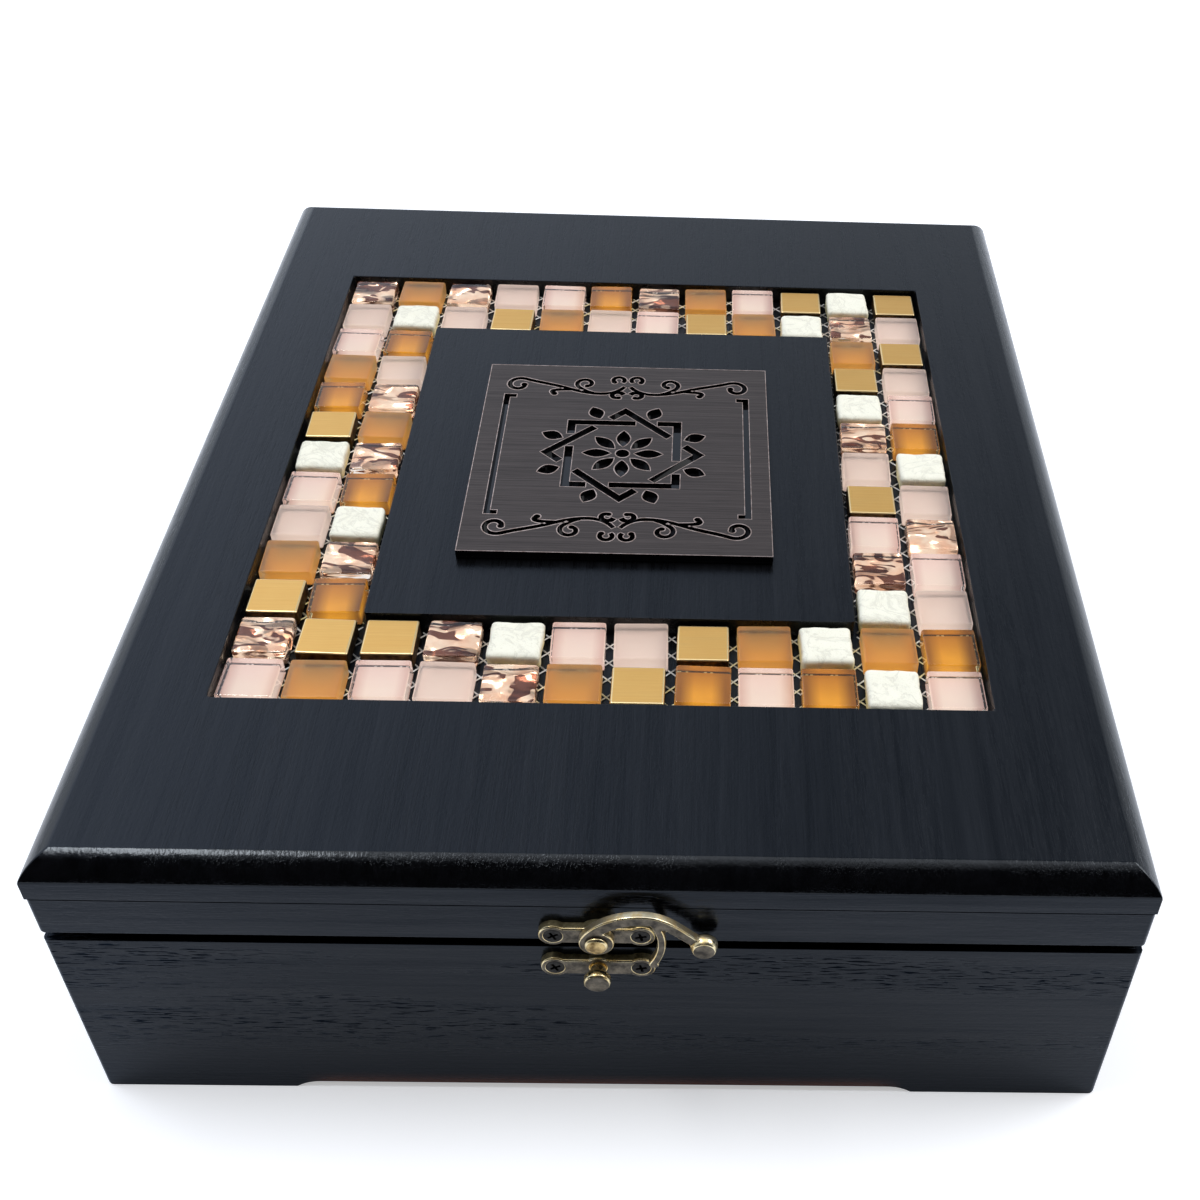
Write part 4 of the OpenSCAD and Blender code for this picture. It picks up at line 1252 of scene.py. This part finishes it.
def wallPushes(bm):
    pushes = {}
    for face in bm.faces:
        if abs(face.normal.z) < plaque["wallFacing"]:
            for vert in face.verts:
                pushes[vert] = pushes.get(vert, Vector()) + face.normal
    return {vert: push.normalized() for vert, push in pushes.items()}


def placeKey(point):
    return round(point.x * 1e7), round(point.y * 1e7)


# A light metal strip on top along each cut and edge: bare metal, and a painted highlight for the light that
# the edge catches.
def bareRims(bm, edges, inward):
    fresh = bmesh.ops.duplicate(bm, geom=edges)["geom"]
    grown = bmesh.ops.extrude_edge_only(bm, edges=edgesIn(fresh))["geom"]
    for vert in vertsIn(grown):
        vert.co -= inward[placeKey(vert.co)] * plaque["rim"] * mm
    rims = facesIn(grown)
    for face in rims:
        face.material_index = 1
        face.normal_update()
        if face.normal.z < 0:
            face.normal_flip()
    strip = {vert for face in rims for vert in face.verts}
    bmesh.ops.translate(bm, vec=(0, 0, plaque["rimLift"] * mm), verts=list(strip))


def makePlaque():
    bm = copyOfNode("plaque_face")
    bm.normal_update()
    low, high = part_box("plaque_face")
    pushes = wallPushes(bm)
    caps = [face for face in bm.faces if abs(face.normal.z) > plaque["wallFacing"]]
    bmesh.ops.delete(bm, geom=caps, context="FACES_ONLY")
    bmesh.ops.delete(bm, geom=[edge for edge in bm.edges if not edge.link_faces], context="EDGES")
    middle = (low.z + high.z) / 2
    for vert, push in pushes.items():
        x, y, z = vert.co
        if min(x - low.x, high.x - x, y - low.y, high.y - y) > plaque["outlineBand"] * mm:
            vert.co -= push * plaque["kerf"] * mm
        if z > middle:
            vert.co.z -= plaque["rimLift"] * mm
    for face in bm.faces:
        face.material_index = 2
    inward = {placeKey(vert.co): push for vert, push in pushes.items()}
    loops = [edge for edge in bm.edges if edge.is_boundary]
    upper = [edge for edge in loops if all(vert.co.z > middle for vert in edge.verts)]
    lower = [edge for edge in loops if all(vert.co.z < middle for vert in edge.verts)]
    for edges, up in ((upper, 1), (lower, -1)):
        filled = bmesh.ops.triangle_fill(bm, use_beauty=True, edges=edges, normal=(0, 0, up))["geom"]
        for face in facesIn(filled):
            face.material_index = 0
    bmesh.ops.recalc_face_normals(bm, faces=bm.faces)
    bareRims(bm, upper, inward)
    newPiece("plaqueFace", bm, ["bronze", "cutRim", "backing"], "lid", ["plaque_face"])
    backing = copyOfNode("plaque_backing")
    roundEdges(backing, sharpEdges(backing, 50), plaque["backingArris"], 2)
    newPiece("plaqueBacking", backing, ["backing"], "lid", ["plaque_backing"])
    print("plaque made")


# Latch

latch = {
    "plateEdge": 0.55,
    "hookEdge": 0.5,
    "backBand": 0.2,  # edges this near the back stay sharp
    "shortest": 0.05,
    "flatLimit": 0.93,  # how squarely a face looks to the front to keep its patina
    "sideLimit": 0.2,
    "sinkFacing": (0.3, 0.9),
    "screwTurns": (0.5, 0.2),
}


def countersink(edge):
    low, high = latch["sinkFacing"]
    return any(low < -face.normal.y < high for face in edge.link_faces)


def castPiece(node, name, width, side, body, clamp=True):
    bm = copyOfNode(node)
    front = max(vert.co.y for vert in bm.verts) - latch["backBand"] * mm
    edges = [edge for edge in sharpEdges(bm, 35) if all(vert.co.y < front for vert in edge.verts)
             and edge.calc_length() > latch["shortest"] * mm and not countersink(edge)]
    roundEdges(bm, edges, width, 4, clamp)
    bm.normal_update()
    for face in bm.faces:
        facing = -face.normal.y
        rim = 2 if abs(facing) < latch["sideLimit"] else 1
        face.material_index = 0 if facing > latch["flatLimit"] else rim
    newPiece(name, bm, ["patinaBrass", "rubbedBrass", side], body, [node], 40.0)


# Radius and distance from the wood, in mm
knob = {
    "profile": ((0, 0), (1.9, 0), (1.9, 4.75), (2.6, 4.7), (3.05, 4.85), (3.3, 5.2), (3.3, 6.2),
                (3.18, 6.65), (2.9, 6.95), (2.5, 7.1), (2.2, 7.02), (0, 7.0)),
    "steps": 48,
}
rivet = {
    "profile": ((0, 0), (1.5, 0), (1.5, 4.7), (2.6, 4.7), (2.8, 4.85), (2.72, 5.1), (2.3, 5.4),
                (1.6, 5.62), (0.8, 5.76), (0, 5.8)),
    "steps": 40,
}


def turnedPiece(node, name, values, front, body):
    low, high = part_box(node)
    place = Matrix.Translation(((low.x + high.x) / 2, high.y, (low.z + high.z) / 2)) @ facingFront
    bm = placed(lathe(values["profile"], values["steps"]), place)
    for face in bm.faces:
        face.material_index = 0 if -face.normal.y > latch["flatLimit"] else 1
    newPiece(name, bm, [front, "rubbedBrass"], body, [node], 40.0)


screwHeads = {
    "latch": {"head": 2.4, "shank": 1.3, "length": 9.0, "slot": 0.34, "reach": 1.45, "depth": 0.9},
    "hinge": {"head": 1.9, "shank": 0.9, "length": 9.0, "slot": 0.28, "reach": 1.15, "depth": 0.7},
}
screwShape = {"rimDrop": 0.12, "segments": 32, "slotTaper": 0.55}


def crossScrew(values):
    bm = bmesh.new()
    head, shank, rimDrop = values["head"], values["shank"], screwShape["rimDrop"]
    a, b = values["slot"], values["reach"]
    cross = [(a, b), (-a, b), (-a, a), (-b, a), (-b, -a), (-a, -a),
             (-a, -b), (a, -b), (a, -a), (b, -a), (b, a), (a, a)]
    plus = [bm.verts.new((x * mm, y * mm, 0)) for x, y in cross]
    plusEdges = [bm.edges.new((plus[i - 1], plus[i])) for i in range(len(plus))]
    disc = bmesh.ops.create_circle(bm, segments=screwShape["segments"], radius=(head - rimDrop) * mm)["verts"]
    rim = list({edge for vert in disc for edge in vert.link_edges})
    bmesh.ops.triangle_fill(bm, use_beauty=True, edges=plusEdges + rim, normal=(0, 0, 1))
    taper = screwShape["slotTaper"]
    raiseTop(bm, bm.faces.new(plus), lambda point: Vector((
        point.x * taper, point.y * taper, -values["depth"] * mm)))
    for radius, drop in ((head, rimDrop), (shank, rimDrop + (head - shank)), (shank, values["length"])):
        grown = bmesh.ops.extrude_edge_only(bm, edges=rim)["geom"]
        rim = edgesIn(grown)
        for vert in vertsIn(grown):
            flat = Vector((vert.co.x, vert.co.y)).normalized() * radius * mm
            vert.co = Vector((flat.x, flat.y, -drop * mm))
    bmesh.ops.holes_fill(bm, edges=[edge for edge in bm.edges if edge.is_boundary])
    bmesh.ops.recalc_face_normals(bm, faces=bm.faces)
    return keptMesh(bm, "crossScrew")


def makeScrews(node, name, kind, places, material, body):
    bm = bmesh.new()
    scattered(bm, crossScrew(screwHeads[kind]), places)
    newPiece(name, bm, [material], body, [node], 30.0)


def makeLatch():
    castPiece("hook_plate", "hookPlate", latch["plateEdge"], "sideBrass", "lid")
    castPiece("catch_plate", "catchPlate", latch["plateEdge"], "sideBrass", "box")
    castPiece("swing_hook", "swingHook", latch["hookEdge"], "archBrass", "hook", clamp=False)
    turnedPiece("catch_knob", "catchKnob", knob, "patinaBrass", "box")
    turnedPiece("hook_rivet", "hookRivet", rivet, "rivetBrass", "lid")
    head = screwHeads["latch"]["head"] * mm
    for body in ("lid", "box"):
        node = f"latch_screws_{body}"
        low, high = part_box(node)
        places = []
        for x, turn in zip((low.x + head, high.x - head), latch["screwTurns"]):
            place = Matrix.Translation((x, low.y, (low.z + high.z) / 2))
            places.append(place @ facingFront @ Matrix.Rotation(turn, 4, "Z"))
        makeScrews(node, f"{body}LatchScrews", "latch", places, "screw", body)
    print("latch made")


# Hinges

hinges = {"edge": 0.18, "shortest": 0.5, "pinDome": 0.25, "pinSteps": 20, "screwOffset": 10.0,
          "screwTurn": 0.3}


def makeHingeLeaves(side):
    for body in ("box", "lid"):
        node = f"{side}_hinge_{body}_leaf"
        bm = copyOfNode(node)
        edges = [edge for edge in sharpEdges(bm, 50)
                 if edge.is_convex and edge.calc_length() > hinges["shortest"] * mm]
        roundEdges(bm, edges, hinges["edge"], 2)
        newPiece(f"{side}Hinge{body.capitalize()}Leaf", bm, ["hinge"], body, [node])


def makeHingePin(side):
    node = f"{side}_hinge_pin"
    low, high = boxInMm(node)
    radius, length, dome = (high.z - low.z) / 2, high.x - low.x, hinges["pinDome"]
    profile = ((0, 0), (radius - dome, 0), (radius, dome),
               (radius, length - dome), (radius - dome, length), (0, length))
    place = Matrix.Translation(Vector((low.x, (low.y + high.y) / 2, (low.z + high.z) / 2)) * mm)
    pin = placed(lathe(profile, hinges["pinSteps"]), place @ Matrix.Rotation(math.pi / 2, 4, "Y"))
    newPiece(f"{side}HingePin", pin, ["hinge"], "box", [node])


def makeHinges():
    for side in ("left", "right"):
        makeHingeLeaves(side)
        makeHingePin(side)
    for body in ("box", "lid"):
        node = f"hinge_screws_{body}"
        low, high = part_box(node)
        up = body == "box"
        flip = Matrix() if up else Matrix.Rotation(math.pi, 4, "X")
        places = []
        for side in ("left", "right"):
            leafLow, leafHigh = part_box(f"{side}_hinge_box_leaf")
            middle = (leafLow.x + leafHigh.x) / 2
            for offset in (-hinges["screwOffset"], hinges["screwOffset"]):
                point = Vector((middle + offset * mm, (low.y + high.y) / 2, high.z if up else low.z))
                turn = Matrix.Rotation(hinges["screwTurn"] + offset, 4, "Z")
                places.append(Matrix.Translation(point) @ flip @ turn)
        makeScrews(node, f"{body}HingeScrews", "hinge", places, "hinge", body)
    print("hinges made")


# Inside of the box

bottom = {"arris": 0.3}
lining = {"cells": (60, 78), "wave": 0.12, "waveLength": 35.0, "gap": 0.02}
# Shares of a bumper's radius and height
bumper = {"profile": ((0, 0), (1, 0), (1, 0.65), (0.92, 0.9), (0.75, 1), (0, 1)), "steps": 32}


def makeLining():
    low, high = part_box("base_lining")
    size = (high - low) / 2
    bm = bmesh.new()
    bmesh.ops.create_grid(bm, x_segments=lining["cells"][0], y_segments=lining["cells"][1], size=1.0)
    bmesh.ops.scale(bm, vec=(size.x, size.y, 1.0), verts=bm.verts)
    bmesh.ops.translate(bm, vec=(0, 0, low.z + lining["gap"] * mm), verts=bm.verts)
    grown = bmesh.ops.extrude_face_region(bm, geom=bm.faces[:])["geom"]
    for vert in vertsIn(grown):
        wave = noise.noise(vert.co / (lining["waveLength"] * mm)) - 1
        vert.co.z = high.z + wave * lining["wave"] * mm
    bmesh.ops.recalc_face_normals(bm, faces=bm.faces)
    felted = newPiece("baseLining", bm, ["lining"], "box", ["base_lining"])


def makeBumpers():
    low, high = boxInMm("lid_bumpers")
    radius, height = (high.y - low.y) / 2, high.z - low.z
    profile = [(radius * across, height * up) for across, up in bumper["profile"]]
    dot = keptMesh(lathe(profile, bumper["steps"]), "bumper")
    bm = bmesh.new()
    scattered(bm, dot, [Matrix.Translation(Vector((x, (low.y + high.y) / 2, low.z)) * mm)
                        for x in (low.x + radius, high.x - radius)])
    newPiece("lidBumpers", bm, ["bumper"], "box", ["lid_bumpers"])


def makeInside():
    board = copyOfNode("bottom_panel")
    roundEdges(board, sharpEdges(board, 50), bottom["arris"], 2)
    newPiece("bottomPanel", board, ["bottom"], "box", ["bottom_panel"])
    makeLining()
    makeBumpers()
    print("inside made")


# Floor and light

def makeFloor():
    bm = bmesh.new()
    cells = studio["floorCells"]
    bmesh.ops.create_grid(bm, x_segments=cells, y_segments=cells, size=studio["floorSize"] / 2)
    floor = bpy.data.objects.new("floor", keptMesh(bm, "floor"))
    floor.data.materials.append(finishes["floor"])
    bpy.context.scene.collection.objects.link(floor)


def makeSky():
    world = bpy.data.worlds.new("studio")
    bpy.context.scene.world = world
    world.use_nodes = True
    tree = world.node_tree
    coordinates = addNode(tree, "TexCoord").outputs["Generated"]
    direction = addNode(tree, "SeparateXYZ", {"Vector": coordinates}).outputs
    leftward = remap(tree, direction["X"], *studio["leftwardX"])
    ceiling = mixColour(tree, leftward, studio["ceiling"], studio["leftCeiling"])
    sky = mixColour(tree, remap(tree, direction["Z"], *studio["ceilingZ"]), studio["horizon"], ceiling)
    sky = mixColour(tree, remap(tree, direction["Z"], *studio["zenithZ"]), sky, studio["zenith"])
    sky = mixColour(tree, remap(tree, direction["Y"], *studio["frontY"]), sky, studio["front"])
    path = addNode(tree, "LightPath").outputs
    seen = compute(tree, "MAXIMUM", path["Is Camera Ray"], path["Is Transmission Ray"])
    sky = mixColour(tree, seen, sky, studio["backdrop"])
    feed(tree, tree.nodes["Background"].inputs["Color"], sky)


def makeStudio():
    makeFloor()
    for name, values in studio["lamps"].items():
        makeLamp(name, values)
    makeSky()
    bpy.context.scene.view_settings.view_transform = "Standard"
    print("studio made")


makeCamera(photoCamera)
makeStudio()
makeBoards()
makeLidPanel()
makeGlassChips()
makeFoilChips()
makeMarbleChips()
makeBrassChips()
makeNet()
makePlaque()
makeLatch()
makeHinges()
makeInside()

bpy.context.view_layer.update()
